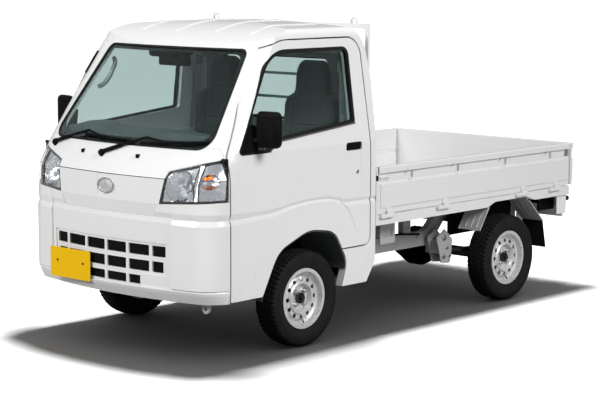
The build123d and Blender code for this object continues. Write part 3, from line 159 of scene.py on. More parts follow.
def mathOf(made, operation, first, second):
    joint = addNode(made, "ShaderNodeMath", operation=operation)
    fill(made, joint.inputs[0], first)
    fill(made, joint.inputs[1], second)
    return joint.outputs[0]


def bumpOf(made, height, strength, distance):
    return addNode(
        made, "ShaderNodeBump", Height=height, Strength=strength, Distance=distance).outputs["Normal"]


def seenOf(made):
    # One where the camera sees a surface, directly or through glass
    path = addNode(made, "ShaderNodeLightPath")
    return mathOf(made, "MAXIMUM", path.outputs["Is Camera Ray"], path.outputs["Is Transmission Ray"])


def blendShaders(made, factor, first, second, outputName):
    both = addNode(made, "ShaderNodeMixShader")
    for index, source in enumerate((factor, first, second)):
        fill(made, both.inputs[index], source)
    fill(made, made.node_tree.nodes[outputName].inputs["Surface"], both.outputs["Shader"])


# ---- materials
dust = {"color": (0.52, 0.49, 0.43), "top": 0.55, "full": 0.18, "dulling": 0.5}


def paintMaterial(name, slotName, color, dirt, roughness=0.24, coat=0.45):
    # Solid paint: faint orange peel, slow colour drift, a film of dust low on the body
    made = newMaterial(
        name, slotName, color, roughness, Coat_Weight=coat, Coat_Roughness=0.06,
        Specular_IOR_Level=0.35 if coat else 0.12)
    point = objectPoint(made)
    drift = rangeOf(made, noiseOf(made, point, 1.7, 2.0), 0.3, 0.7)
    tone = mixOf(made, drift, tuple(0.975 * part for part in color), color)
    low = rangeOf(made, heightOf(made, point), dust["top"], dust["full"])
    blotch = rangeOf(made, noiseOf(made, point, 9.0, 5.0, 0.6), 0.35, 0.75)
    film = mathOf(made, "MULTIPLY", mathOf(made, "MULTIPLY", low, blotch), dirt)
    dull = mathOf(made, "MULTIPLY", film, dust["dulling"])
    setShader(
        made, Base_Color=mixOf(made, film, tone, dust["color"]),
        Roughness=mathOf(made, "ADD", dull, roughness),
        Normal=bumpOf(made, noiseOf(made, point, 420.0, 1.0), 0.05, 0.0004))


def plasticMaterial(name, slotName, color, roughness, grain=900.0, depth=0.25, **sockets):
    # Grained plastic or rubber with a slow drift of tone and gloss
    made = newMaterial(name, slotName, color, roughness, **sockets)
    point = objectPoint(made)
    cells = addNode(made, "ShaderNodeTexVoronoi", Vector=point, Scale=grain).outputs["Distance"]
    tone = noiseOf(made, point, 14.0, 4.0)
    paler = tuple(1.35 * part + 0.004 for part in color)
    setShader(
        made, Base_Color=mixOf(made, rangeOf(made, tone, 0.3, 0.75), color, paler),
        Roughness=rangeOf(made, tone, 0.3, 0.7, roughness - 0.05, roughness + 0.08),
        Normal=bumpOf(made, cells, depth, 0.0003))


def metalMaterial(name, slotName, color, roughness, stain, metallic=1.0, scale=22.0, pit=0.15):
    # Metal with stains that are also duller, and fine pits
    made = newMaterial(name, slotName, color, roughness, Metallic=metallic)
    point = objectPoint(made)
    rust = noiseOf(made, point, scale, 6.0, 0.65)
    setShader(
        made, Base_Color=mixOf(made, rangeOf(made, rust, 0.45, 0.72), color, stain),
        Roughness=rangeOf(made, rust, 0.35, 0.75, roughness - 0.06, min(roughness + 0.3, 1.0)),
        Normal=bumpOf(made, noiseOf(made, point, scale * 14, 3.0), pit, 0.0005))


def glassMaterial(name, slotName, tint, shade):
    # Thin automotive glass; shadow rays pass as tinted air, so that the cab is lit
    made = newMaterial(name, slotName, tint, 0.0, Transmission_Weight=1.0, IOR=1.22)
    setShader(
        made, Roughness=rangeOf(made, noiseOf(made, objectPoint(made), 6.0, 4.0), 0.4, 0.9, 0.0, 0.025))
    clear = addNode(made, "ShaderNodeBsdfTransparent", Color=shade)
    path = addNode(made, "ShaderNodeLightPath")
    blendShaders(
        made, path.outputs["Is Shadow Ray"], shaderOf(made).outputs["BSDF"], clear.outputs["BSDF"],
        "Material Output")


def clothMaterial(name, slotName, color, accent):
    # Woven seat cloth: two crossed threads and a soft sheen
    made = newMaterial(name, slotName, color, 0.9, Sheen_Weight=0.35, Sheen_Roughness=0.5)
    point = objectPoint(made)
    waves = [
        addNode(
            made, "ShaderNodeTexWave", bands_direction=axis, Vector=point, Scale=190.0, Distortion=0.6,
            Detail=1.0).outputs["Fac"]
        for axis in ("X", "Z")]
    fleck = rangeOf(made, noiseOf(made, point, 260.0, 2.0), 0.5, 0.62)
    setShader(
        made, Base_Color=mixOf(made, fleck, color, accent),
        Normal=bumpOf(made, mathOf(made, "MULTIPLY", *waves), 0.5, 0.0008))


# The first material of a slot is the one for the solids of that slot
paintMaterial("whitePaint", "white_paint", (0.8, 0.805, 0.8), 0.22)
paintMaterial("framePaint", "frame_grey", (0.42, 0.425, 0.42), 0.5, 0.42, 0.2)
paintMaterial("bedPaint", "white_paint", (0.77, 0.775, 0.77), 0.1, 0.34)
metalMaterial("wheelSilver", "wheel_silver", (0.76, 0.77, 0.78), 0.3, (0.6, 0.59, 0.57), 0.55, 30.0, 0.05)
plasticMaterial("blackPlastic", "black_plastic", (0.003, 0.003, 0.0035), 0.55, Specular_IOR_Level=0.06)
plasticMaterial(
    "glossBlack", "black_plastic", (0.004, 0.004, 0.005), 0.22, 500.0, 0.04, Specular_IOR_Level=0.3)
plasticMaterial("trimGrey", "trim_grey", (0.045, 0.05, 0.052), 0.6, 700.0, 0.4)
plasticMaterial("trimPale", "trim_grey", (0.3, 0.31, 0.31), 0.6, 700.0, 0.3)
metalMaterial("lampBowl", "lamp_bowl", (0.36, 0.37, 0.39), 0.1, (0.31, 0.32, 0.34), 1.0, 40.0, 0.02)
glassMaterial("clearGlass", "clear_glass", (0.97, 0.98, 0.98), (0.93, 0.95, 0.95))
glassMaterial("tintedGlass", "tinted_glass", (0.6, 0.69, 0.68), (0.62, 0.7, 0.69))
plasticMaterial(
    "tyreRubber", "tyre_black", (0.009, 0.009, 0.0095), 0.66, 320.0, 0.35, Specular_IOR_Level=0.12)
plasticMaterial(
    "sealRubber", "rubber_black", (0.006, 0.006, 0.006), 0.6, 500.0, 0.2, Specular_IOR_Level=0.2)
metalMaterial("castMetal", "cast_metal", (0.09, 0.09, 0.092), 0.55, (0.13, 0.1, 0.075), 0.7, 26.0, 0.4)
metalMaterial("zincSteel", "wheel_silver", (0.55, 0.55, 0.54), 0.35, (0.42, 0.4, 0.37), 1.0, 60.0, 0.1)
clothMaterial("seatCloth", "seat_cloth", (0.03, 0.034, 0.036), (0.055, 0.062, 0.064))
paintMaterial("plateYellow", "plate_yellow", (0.85, 0.5, 0.003), 0.0, 0.5, 0.0)
plasticMaterial("lampRed", "lamp_red", (0.42, 0.008, 0.008), 0.16, 260.0, 0.3, Coat_Weight=0.8)
plasticMaterial("amberPlastic", "lamp_red", (0.85, 0.2, 0.01), 0.15, 260.0, 0.1, Coat_Weight=0.6)
metalMaterial("mirrorGlass", "lamp_bowl", (0.8, 0.83, 0.86), 0.04, (0.76, 0.79, 0.82), 1.0, 12.0, 0.0)
metalMaterial("badgeChrome", "lamp_bowl", (0.8, 0.81, 0.82), 0.28, (0.74, 0.75, 0.76), 1.0, 40.0, 0.02)
# Trim of the cab's back wall: its dark colour is partly the trim's own and partly painted shade
plasticMaterial("cabTrimAndPaintedShade", "trim_grey", (0.11, 0.118, 0.118), 0.6, 300.0, 0.2)
plasticMaterial("mouldingGrey", "trim_grey", (0.07, 0.068, 0.068), 0.35, 700.0, 0.1)
clothMaterial("beltWeb", "seat_cloth", (0.5, 0.51, 0.51), (0.6, 0.61, 0.61))

for entry in frame["record"]["subparts"]:
    shell = nodes[entry["node"]]
    shell.data.materials.clear()
    shell.data.materials.append(materials[finishOfSlot[entry["material_slot"]]])
for name in ("bed_floor", "bed_front_wall", "side_gate_left", "side_gate_right", "tailgate"):
    nodes[name].data.materials[0] = materials["bedPaint"]
nodes["tail_lamps"].data.materials[0] = materials["blackPlastic"]
print("materials ready")


# ---- modelling tools; a part gets its name when it is dressed
def clearSelection():
    if bpy.context.mode != "OBJECT":
        bpy.ops.object.mode_set(mode="OBJECT")
    bpy.ops.object.select_all(action="DESELECT")


def pick(piece):
    clearSelection()
    piece.select_set(True)
    bpy.context.view_layer.objects.active = piece


def linked(data):
    piece = bpy.data.objects.new("part", data)
    bpy.context.scene.collection.objects.link(piece)
    return piece


def copyOf(source, name):
    # The same piece with its own mesh, at the origin
    copy = source.copy()
    copy.data = source.data.copy()
    copy.name = name
    copy.parent = None
    bpy.context.scene.collection.objects.link(copy)
    copy.matrix_world = Matrix.Identity(4)
    return copy


def edited(piece, *operations):
    # Mesh operations on the whole piece, each given with its values
    pick(piece)
    bpy.ops.object.mode_set(mode="EDIT")
    for operation, values in operations:
        bpy.ops.mesh.select_all(action="SELECT")
        operation(**values)
    bpy.ops.object.mode_set(mode="OBJECT")
    return piece


def applied(piece, kind, **values):
    # Add a modifier, set its values and apply it
    pick(piece)
    modifier = piece.modifiers.new(kind.lower(), kind)
    for key, value in values.items():
        setattr(modifier, key, value)
    bpy.ops.object.modifier_apply(modifier=modifier.name)
    return piece


def joined(parts):
    clearSelection()
    for part in parts:
        part.select_set(True)
    bpy.context.view_layer.objects.active = parts[0]
    if len(parts) > 1:
        bpy.ops.object.join()
    return bpy.context.view_layer.objects.active


def dress(name, parts, finish, body="root", smooth=38.0):
    # Join the parts, place them into the mesh, give name and finish and tie the piece to its body
    piece = joined(parts) if isinstance(parts, list) else parts
    piece.name = name
    pick(piece)
    bpy.ops.object.transform_apply(location=True, rotation=True, scale=True)
    piece.data.materials.clear()
    piece.data.materials.append(materials[finish])
    bpy.ops.object.shade_smooth_by_angle(angle=math.radians(smooth))
    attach(piece, body)
    return piece


def dressPair(name, parts, finish, body="root", smooth=38.0):
    # A left piece and its mirror image on the right body
    left = dress(name, parts, finish, body, smooth)
    right = copyOf(left, name.replace("Left", "Right"))
    right.data.transform(Matrix.Scale(-1, 4, (1, 0, 0)))
    right.data.flip_normals()
    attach(right, body.replace("_left", "_right"))
    return left, right


def meshPart(points, faces):
    mesh = bpy.data.meshes.new("part")
    mesh.from_pydata([tuple(point) for point in points], [], faces)
    return edited(
        linked(mesh), (bpy.ops.mesh.remove_doubles, {"threshold": 0.00001}),
        (bpy.ops.mesh.normals_make_consistent, {"inside": False}))


def block(low, high, edge=0.003, steps=3):
    # Box between two corners with rounded edges
    clearSelection()
    bpy.ops.mesh.primitive_cube_add(size=1.0, location=[(a + b) / 2 for a, b in zip(low, high)])
    piece = bpy.context.active_object
    piece.scale = [abs(b - a) for a, b in zip(low, high)]
    bpy.ops.object.transform_apply(location=True, rotation=True, scale=True)
    return edited(piece, (bpy.ops.mesh.bevel, {"offset": edge, "segments": steps, "affect": "EDGES"}))


def turned(profile, centre, axis=(1, 0, 0), steps=48):
    # Spin of a profile given as (along the axis, radius)
    along = Vector(axis).normalized()
    out = along.orthogonal().normalized()
    centre = Vector(centre)
    points = [centre + along * reach + out * max(radius, 0.00001) for reach, radius in profile]
    mesh = bpy.data.meshes.new("part")
    mesh.from_pydata([tuple(point) for point in points], [(i, i + 1) for i in range(len(points) - 1)], [])
    spin = {"steps": steps, "angle": 2 * math.pi, "center": centre, "axis": along}
    return edited(
        linked(mesh), (bpy.ops.mesh.spin, spin), (bpy.ops.mesh.remove_doubles, {"threshold": 0.00003}),
        (bpy.ops.mesh.normals_make_consistent, {"inside": False}))


def tube(points, radius, sides=4, closed=False, smooth=True):
    # Round bar along points, as a curve turned into a mesh
    clearSelection()
    curve = bpy.data.curves.new("part", "CURVE")
    curve.dimensions = "3D"
    curve.bevel_depth = radius
    curve.bevel_resolution = sides
    curve.use_fill_caps = not closed
    spline = curve.splines.new("BEZIER" if smooth else "POLY")
    knots = spline.bezier_points if smooth else spline.points
    knots.add(len(points) - 1)
    for knot, point in zip(knots, points):
        knot.co = point if smooth else (*point, 1.0)
        if smooth:
            knot.handle_left_type = knot.handle_right_type = "AUTO"
    spline.resolution_u = 8
    spline.use_cyclic_u = closed
    pick(linked(curve))
    bpy.ops.object.convert(target="MESH")
    return bpy.context.active_object


def rod(points, radius, sides=4):
    # Round bar with straight runs between the points
    return tube(points, radius, sides, smooth=False)


def rowFaces(rows, width, around=True, closed=True):
    # Quads between rows of points; around joins a row's ends, closed the last row to the first
    faces = []
    for row in range(rows if closed else rows - 1):
        here, there = row * width, (row + 1) % rows * width
        for step in range(width if around else width - 1):
            other = (step + 1) % width
            faces.append((here + step, here + other, there + other, there + step))
    return faces


def roundedOutline(corners, steps=6):
    # Points round an outline whose corners are (u, v, radius)
    points = []
    for index, (u, v, radius) in enumerate(corners):
        here = Vector((u, v))
        before = (Vector(corners[index - 1][:2]) - here).normalized()
        after = (Vector(corners[(index + 1) % len(corners)][:2]) - here).normalized()
        half = math.acos(max(-1.0, min(1.0, before.dot(after)))) / 2
        if radius < 0.0001 or abs(math.sin(half)) < 0.001 or half > 1.55:
            points.append(here)
            continue
        reach = radius / math.tan(half)
        middle = here + (before + after).normalized() * radius / math.sin(half)
        first, last = here + before * reach - middle, here + after * reach - middle
        turn = first.angle_signed(last)
        points += [middle + Matrix.Rotation(-turn * step / steps, 2) @ first for step in range(steps + 1)]
    return points


def symmetric(low, high):
    # Outline of four corners from its right half
    return [(-low[0], *low[1:]), low, high, (-high[0], *high[1:])]


# ---- the cab's outer surface, for pieces that lie on it
cabSkin = {
    "halfWidth": 0.7375, "noseRadius": 2.7, "cornerRadius": 0.176, "beltZ": 1.1, "railHalf": 0.655,
    "railZ": 1.736, "rearY": -0.3, "rearBendZ": 1.45, "rearLean": 0.148, "edgeReach": 0.05,
    "nose": [
        (0.27, -1.6455), (0.4, -1.6975), (0.74, -1.6975), (0.97, -1.6795), (1.115, -1.59), (1.84, -1.037)]
}


def noseFront(z):
    for (lowZ, lowY), (highZ, highY) in zip(cabSkin["nose"], cabSkin["nose"][1:]):
        if z <= highZ:
            return lowY + (highY - lowY) * (z - lowZ) / (highZ - lowZ)
    return cabSkin["nose"][-1][1]


def onNose(x, z, depth=0.0):
    # Point of the front surface, depth below it, in the plan's own normal direction
    half, nose, corner = cabSkin["halfWidth"], cabSkin["noseRadius"], cabSkin["cornerRadius"]
    middleY = noseFront(z) + nose
    turn = math.asin((half - corner) / (nose - corner))
    side = math.copysign(1.0, x)
    if abs(x) <= nose * math.sin(turn):
        angle = math.asin(abs(x) / nose)
        return Vector(
            (side * (nose - depth) * math.sin(angle), middleY - (nose - depth) * math.cos(angle), z))
    cornerY = middleY - (nose - corner) * math.cos(turn)
    angle = math.asin(min((abs(x) - half + corner) / corner, 1.0))
    reach = corner - depth
    return Vector((side * (half - corner + reach * math.sin(angle)), cornerY - reach * math.cos(angle), z))


def noseNormal(point, step=0.004):
    across = onNose(point.x + step, point.z) - onNose(point.x - step, point.z)
    upward = onNose(point.x, point.z + step) - onNose(point.x, point.z - step)
    return across.cross(upward).normalized()


def offNose(place, height):
    point = onNose(*place)
    return point + noseNormal(point) * height


def onSide(y, z, depth=0.0):
    lean = (cabSkin["halfWidth"] - cabSkin["railHalf"]) / (cabSkin["railZ"] - cabSkin["beltZ"])
    return Vector((cabSkin["halfWidth"] - max(z - cabSkin["beltZ"], 0.0) * lean - depth, y, z))


def onRear(x, z, depth=0.0):
    return Vector(
        (x, cabSkin["rearY"] - max(z - cabSkin["rearBendZ"], 0.0) * cabSkin["rearLean"] - depth, z))


def cornerX(y, z, depth):
    # Half width where the side wall turns into the nose
    nose, corner = cabSkin["noseRadius"], cabSkin["cornerRadius"]
    turn = math.asin((cabSkin["halfWidth"] - corner) / (nose - corner))
    reach = max(noseFront(z) + nose - (nose - corner) * math.cos(turn) - y, 0.0)
    return cabSkin["halfWidth"] - corner + math.sqrt(max((corner - depth) ** 2 - reach ** 2, 0.0))


def edgeSteps(outline):
    # (corner, next corner, share of the way) for points close enough together to follow a surface
    steps = []
    for index, point in enumerate(outline):
        following = (index + 1) % len(outline)
        count = max(1, round((outline[following] - point).length / cabSkin["edgeReach"]))
        steps += [(index, following, step / count) for step in range(count)]
    return steps


def band(outer, inner, place, depthOut, depthIn, steps=6):
    # Closed band between two outlines of like corners, from depthOut to depthIn below the surface
    outerLine, innerLine = roundedOutline(outer, steps), roundedOutline(inner, steps)
    points = []
    for index, following, share in edgeSteps(outerLine):
        first, second = (line[index].lerp(line[following], share) for line in (outerLine, innerLine))
        points += [
            place(first.x, first.y, depthOut), place(second.x, second.y, depthOut),
            place(second.x, second.y, depthIn), place(first.x, first.y, depthIn)]
    return meshPart(points, rowFaces(len(points) // 4, 4))


def patch(corners, place, depthOut, depthIn, steps=5):
    # Closed plate that lies on a surface
    outline = roundedOutline(corners, steps)
    line = [
        outline[index].lerp(outline[following], share) for index, following, share in edgeSteps(outline)]
    count = len(line)
    faces = [tuple(range(count)), tuple(range(2 * count - 1, count - 1, -1))]
    faces += [(i, (i + 1) % count, (i + 1) % count + count, i + count) for i in range(count)]
    return meshPart(
        [place(point.x, point.y, depth) for depth in (depthOut, depthIn) for point in line], faces)


# ---- windscreen, rear window and side window surrounds
screenBorder = {
    "outer": symmetric((0.627, 1.122, 0.074), (0.545, 1.638, 0.049)),
    "lip": symmetric((0.616, 1.132, 0.064), (0.535, 1.6275, 0.04)),
    "clear": symmetric((0.596, 1.16, 0.07), (0.52, 1.606, 0.05)),
    "sealDepths": (-0.0012, 0.0031), "fritDepths": (0.0083, 0.0098)
}
dress(
    "screenSeal", band(screenBorder["outer"], screenBorder["lip"], onNose, *screenBorder["sealDepths"]),
    "sealRubber")
dress(
    "screenFrit", band(screenBorder["outer"], screenBorder["clear"], onNose, *screenBorder["fritDepths"]),
    "glossBlack")
rearBorder = {
    "outer": symmetric((0.492, 1.168, 0.067), (0.462, 1.572, 0.067)),
    "lip": symmetric((0.466, 1.194, 0.041), (0.436, 1.546, 0.041)), "depths": (-0.003, 0.016)
}
dress(
    "rearWindowSeal", band(rearBorder["outer"], rearBorder["lip"], onRear, *rearBorder["depths"]),
    "sealRubber")

doorSeal = {
    "outer": [
        (-1.414, 1.098, 0.02), (-1.1785, 1.098, 0.062), (-1.1095, 1.148, 0.062), (-0.4685, 1.209, 0.024),
        (-0.4745, 1.636, 0.05), (-1.1155, 1.636, 0.218)],
    "lip": [
        (-1.393, 1.116, 0.01), (-1.184, 1.116, 0.056), (-1.116, 1.168, 0.056), (-0.488, 1.229, 0.012),
        (-0.494, 1.616, 0.032), (-1.1065, 1.616, 0.198)],
    "moulding": [(-1.176, 1.101), (-1.1085, 1.1505), (-0.47, 1.2115)], "mouldingRadius": 0.0046,
    "mouldingDepth": -0.0022, "depths": (-0.0018, 0.0195), "cornerSteps": 8
}
dressPair(
    "doorSealLeft",
    band(doorSeal["outer"], doorSeal["lip"], onSide, *doorSeal["depths"], doorSeal["cornerSteps"]),
    "sealRubber", "door_left")
beltPath = [onSide(y, z, doorSeal["mouldingDepth"]) for y, z in doorSeal["moulding"]]
dressPair("beltMouldingLeft", rod(beltPath, doorSeal["mouldingRadius"]), "mouldingGrey", "door_left")

# Rubber in the gap round each door, which also darkens the gap as painted shade, and a dark line of painted
# shadow under the cowl
gap = {
    "depth": 0.0105, "radius": 0.0037, "frontY": -1.472, "frontHeights": (0.34, 0.5, 0.7, 0.9, 1.04),
    "pillarLow": (0.672, 1.1), "pillarHigh": (0.598, 1.6), "pillarSteps": 8,
    "roofTurn": [(0.622, -1.02, 1.672), (0.64, -0.93, 1.683)],
    "rear": [
        (-0.72, 1.686, 0.001), (-0.374, 1.686, 0.106), (-0.3462, 1.0, 0.9), (-0.3462, 0.514, 0.054),
        (-0.56, 0.514, 0.001)],
    "hoodHalf": 0.4206, "hoodZ": 0.972, "hoodSteps": 16, "hoodDepth": 0.0016, "hoodRadius": 0.0024
}
sealPath = [
    Vector((cornerX(gap["frontY"], z, gap["depth"]), gap["frontY"], z)) for z in gap["frontHeights"]]
for step in range(gap["pillarSteps"] + 1):
    share = step / gap["pillarSteps"]
    x, z = (low + (high - low) * share for low, high in zip(gap["pillarLow"], gap["pillarHigh"]))
    sealPath.append(onNose(x, z, gap["depth"]))
sealPath += [Vector(point) for point in gap["roofTurn"]]
sealPath += [onSide(point.x, point.y, gap["depth"]) for point in roundedOutline(gap["rear"], 8)]
dressPair("doorGapSealLeft", rod(sealPath, gap["radius"], 3), "sealRubber")
hoodLine = [
    onNose(gap["hoodHalf"] * (2 * step / gap["hoodSteps"] - 1), gap["hoodZ"], gap["hoodDepth"])
    for step in range(gap["hoodSteps"] + 1)]
dress("cowlShadowSeal", rod(hoodLine, gap["hoodRadius"], 2), "sealRubber")
print("window surrounds ready")


# ---- headlamps; outlines and centres are (x, z), depths lie below the nose
headlamp = {
    "rim": [
        (0.392, 0.8392, 0.012), (0.7333, 0.862, 0.001), (0.7333, 1.0879, 0.001), (0.4298, 1.0102, 0.014)],
    "rimInner": [
        (0.4045, 0.8515, 0.008), (0.7318, 0.874, 0.003), (0.7318, 1.0765, 0.003), (0.438, 1.0005, 0.008)],
    "main": [(0.4045, 0.8515, 0.008), (0.61, 0.8655, 0.005), (0.61, 1.0457, 0.005), (0.438, 1.0005, 0.008)],
    "side": [(0.628, 0.867, 0.005), (0.7318, 0.874, 0.003), (0.7318, 1.0765, 0.003), (0.628, 1.05, 0.005)],
    "divider": [(0.609, 0.864, 0.001), (0.629, 0.866, 0.001), (0.629, 1.051, 0.001), (0.609, 1.046, 0.001)],
    "slits": [
        (0.6018, 0.6062, 0.863, 1.047), (0.6283, 0.6327, 0.864, 1.052), (0.632, 0.7315, 0.9712, 0.9738)],
    "mainRings": [
        (0.12, 0.068, 0), (0.3, 0.064, 1), (0.5, 0.056, 1), (0.7, 0.044, 1), (0.86, 0.03, 1),
        (1.0, 0.0165, 0), (1.55, 0.013, 0), (2.0, 0.012, 0)],
    "sideRings": [
        (0.2, 0.048, 0), (0.5, 0.044, 1), (0.8, 0.032, 1), (1.0, 0.018, 0), (1.5, 0.0135, 0),
        (2.0, 0.0125, 0)],
    "bowlCentre": (0.512, 0.936), "bowlRadius": 0.086, "sideCentre": (0.676, 0.966), "sideRadius": 0.042,
    "stepsPerFlute": 6, "wall": 0.0012, "bulbs": [(0.655, 0.982), (0.679, 0.986)], "rimCornerX": 0.727,
    "rimCornerY": -1.4815, "rimInnerY": -1.493, "rimDepths": (0.0036, 0.074),
    "backDepths": (0.0705, 0.0735), "dividerDepths": (0.0055, 0.02), "slitDepths": (0.0048, 0.009),
    "slitCorner": 0.0004, "mainFlutes": (26, 0.0022), "sideFlutes": (14, 0.0018), "sideSquash": 0.98,
    "amberDepth": 0.045, "amberAxis": (0.25, -1, 0), "bulbDepth": 0.062
}


def reflector(outline, centre, radius, rings, flutes, ripple, squash=1.0):
    # Bowl that opens through a flat bezel out to the compartment's edge; rings are (part, depth, fluted)
    edge = roundedOutline(outline, 5)
    perFlute = headlamp["stepsPerFlute"]
    steps = flutes * perFlute
    points = []
    for step in range(steps):
        angle = 2 * math.pi * step / steps
        ray = Vector((math.cos(angle), math.sin(angle)))
        reach = 9.0
        for index, first in enumerate(edge):
            along = edge[(index + 1) % len(edge)] - first
            bottom = ray.x * along.y - ray.y * along.x
            if abs(bottom) < 1e-9:
                continue
            offset = first - Vector(centre)
            distance = (offset.x * along.y - offset.y * along.x) / bottom
            if distance > 0 and -0.001 <= (offset.x * ray.y - offset.y * ray.x) / bottom <= 1.001:
                reach = min(reach, distance)
        wave = ripple * (0.5 - abs((step % perFlute) / perFlute - 0.5)) * 2
        for part, depth, waved in rings:
            if part <= 1.0:
                out = min(radius * part * squash, reach)
            else:
                out = max(min(reach * (part - 1.0), reach), min(radius * squash, reach))
            place = Vector(centre) + ray * out
            points.append(onNose(place.x, place.y, depth + wave * waved))
    faces = rowFaces(steps, len(rings), around=False) + [tuple(step * len(rings) for step in range(steps))]
    return applied(meshPart(points, faces), "SOLIDIFY", thickness=headlamp["wall"], offset=0.0)


rim = band(headlamp["rim"], headlamp["rimInner"], onNose, *headlamp["rimDepths"])
for vertex in rim.data.vertices:
    # The rim ends where the opening door's front edge swings past
    limit = headlamp["rimCornerY" if vertex.co.x > headlamp["rimCornerX"] else "rimInnerY"]
    vertex.co.y = min(vertex.co.y, limit)
for piece in dressPair("headlampRimLeft", rim, "glossBlack"):
    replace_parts(piece, "headlamp_housings")
dressPair(
    "headlampBackLeft", patch(headlamp["rimInner"], onNose, *headlamp["backDepths"]), "glossBlack")
dressPair(
    "headlampBowlLeft",
    reflector(
        headlamp["main"], headlamp["bowlCentre"], headlamp["bowlRadius"], headlamp["mainRings"],
        *headlamp["mainFlutes"]),
    "lampBowl", smooth=20)
dressPair(
    "headlampSideLeft",
    reflector(
        headlamp["side"], headlamp["sideCentre"], headlamp["sideRadius"], headlamp["sideRings"],
        *headlamp["sideFlutes"], headlamp["sideSquash"]),
    "lampBowl", smooth=20)
dressPair(
    "headlampDividerLeft", patch(headlamp["divider"], onNose, *headlamp["dividerDepths"]), "lampBowl")
slits = []
for left, right, low, high in headlamp["slits"]:
    corners = (left, low), (right, low), (right, high), (left, high)
    outline = [(*corner, headlamp["slitCorner"]) for corner in corners]
    slits.append(patch(outline, onNose, *headlamp["slitDepths"]))
dressPair("headlampSlitsLeft", slits, "glossBlack")
amberBulb = [(-0.012, 0.0), (-0.012, 0.009), (0.004, 0.01), (0.012, 0.0095), (0.021, 0.007), (0.026, 0.0)]
dressPair(
    "headlampAmberLeft",
    [
        turned(amberBulb, onNose(x, z, headlamp["amberDepth"]), headlamp["amberAxis"], 20)
        for x, z in headlamp["bulbs"]],
    "amberPlastic")
mainBulb = [(-0.02, 0.0), (-0.02, 0.012), (-0.002, 0.012), (0.002, 0.0075), (0.03, 0.0075), (0.036, 0.0)]
bulbSeat = onNose(*headlamp["bowlCentre"], headlamp["bulbDepth"])
dressPair("headlampBulbLeft", turned(mainBulb, bulbSeat, (0, -1, 0), 24), "zincSteel")
print("headlamps ready")


# ---- badge place, number plate bolts, washer nozzles, wipers
badge = {
    "x": 0.006, "z": 0.908, "stretch": 1.58, "lift": 0.0022, "steps": 72,
    "ring": [
        (0.0, 0.0335), (0, 0.0425), (0.005, 0.043), (0.0085, 0.04), (0.0085, 0.036), (0.004, 0.0335),
        (0.0, 0.0335)],
    "face": [(0.0, 0.0), (0.0, 0.034), (0.003, 0.034), (0.0062, 0.019125), (0.0072, 0.0)]
}
badgeSeat = onNose(badge["x"], badge["z"], badge["lift"])
for name, profile, finish in (("blankBadge", "ring", "badgeChrome"), ("badgeFace", "face", "wheelSilver")):
    piece = turned(badge[profile], badgeSeat, noseNormal(badgeSeat), badge["steps"])
    for vertex in piece.data.vertices:
        vertex.co.x = badge["x"] + (vertex.co.x - badge["x"]) * badge["stretch"]
        vertex.co.y += onNose(vertex.co.x, badge["z"]).y - badgeSeat.y + badge["lift"]
    dress(name, piece, finish, smooth=30)

plateBolt = {
    "places": (-0.384, -0.174), "y": -1.6955, "z": 0.459, "frontY": -1.6975,
    "profile": [(0.003, 0), (0.003, 0.008), (0.0, 0.0085), (-0.001, 0.006)]
}
plateBolts = joined(
    [
        turned(plateBolt["profile"], (x, plateBolt["y"], plateBolt["z"]), (0, -1, 0), 6)
        for x in plateBolt["places"]])
for vertex in plateBolts.data.vertices:
    vertex.co.y = max(vertex.co.y, plateBolt["frontY"])
dress("plateBolts", plateBolts, "zincSteel")
nozzles = []
for x, z in ((-0.262, 1.068), (0.183, 1.071)):
    seat = onNose(x, z, -0.001)
    nozzles.append(
        block((x - 0.01, seat.y - 0.01, z - 0.009), (x + 0.01, seat.y + 0.012, z + 0.012), 0.004))
dress("washerNozzles", nozzles, "blackPlastic")

wiper = {
    "cap": [(-0.004, 0), (-0.004, 0.02), (0.012, 0.0195), (0.02, 0.015), (0.022, 0)], "gap": 0.0004,
    "rootRadius": 0.0105, "armRadius": 0.0075, "rubberRadius": 0.003, "spineRadius": 0.0068,
    "linkRadius": 0.0066, "bridgeRadius": 0.005, "rootLift": 0.014, "elbowLift": 0.02,
    "rubberLift": 0.0025, "spineLift": 0.0125,
    "set": [
        ("wiperRight", (-0.56, 1.09), (-0.272, 1.166), [(-0.3, 1.15), (-0.15, 1.1465), (0.1, 1.14)]),
        ("wiperLeft", (-0.094, 1.07), (0.204, 1.16), [(0.17, 1.134), (0.36, 1.143), (0.6, 1.162)])]
}
for name, pivotPlace, elbowPlace, blade in wiper["set"]:
    pivot, elbow = offNose(pivotPlace, 0.0), offNose(elbowPlace, wiper["elbowLift"])
    out = noseNormal(pivot)
    start = pivot + out * wiper["rootLift"]
    low, high = ([offNose(place, wiper[lift]) for place in blade] for lift in ("rubberLift", "spineLift"))
    centre = high[1]
    left, right = high[0].lerp(centre, 0.35), centre.lerp(high[2], 0.62)
    arm = joined(
        [
            turned(wiper["cap"], pivot, out, 28),
            rod([start, start.lerp(elbow, 0.45) + out * 0.003], wiper["rootRadius"]),
            rod([start.lerp(elbow, 0.4) + out * 0.003, elbow], wiper["armRadius"]),
            tube(low, wiper["rubberRadius"]), tube(high, wiper["spineRadius"]),
            rod([elbow, elbow.lerp(centre, 0.5), centre + out * 0.002], wiper["linkRadius"]),
            tube([left + out * 0.002, centre + out * 0.009, right + out * 0.002], wiper["bridgeRadius"])])
    for vertex in arm.data.vertices:
        vertex.co.y = min(vertex.co.y, onNose(vertex.co.x, vertex.co.z).y - wiper["gap"])
    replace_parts(dress(name, arm, "blackPlastic"), "wipers")
print("front details ready")


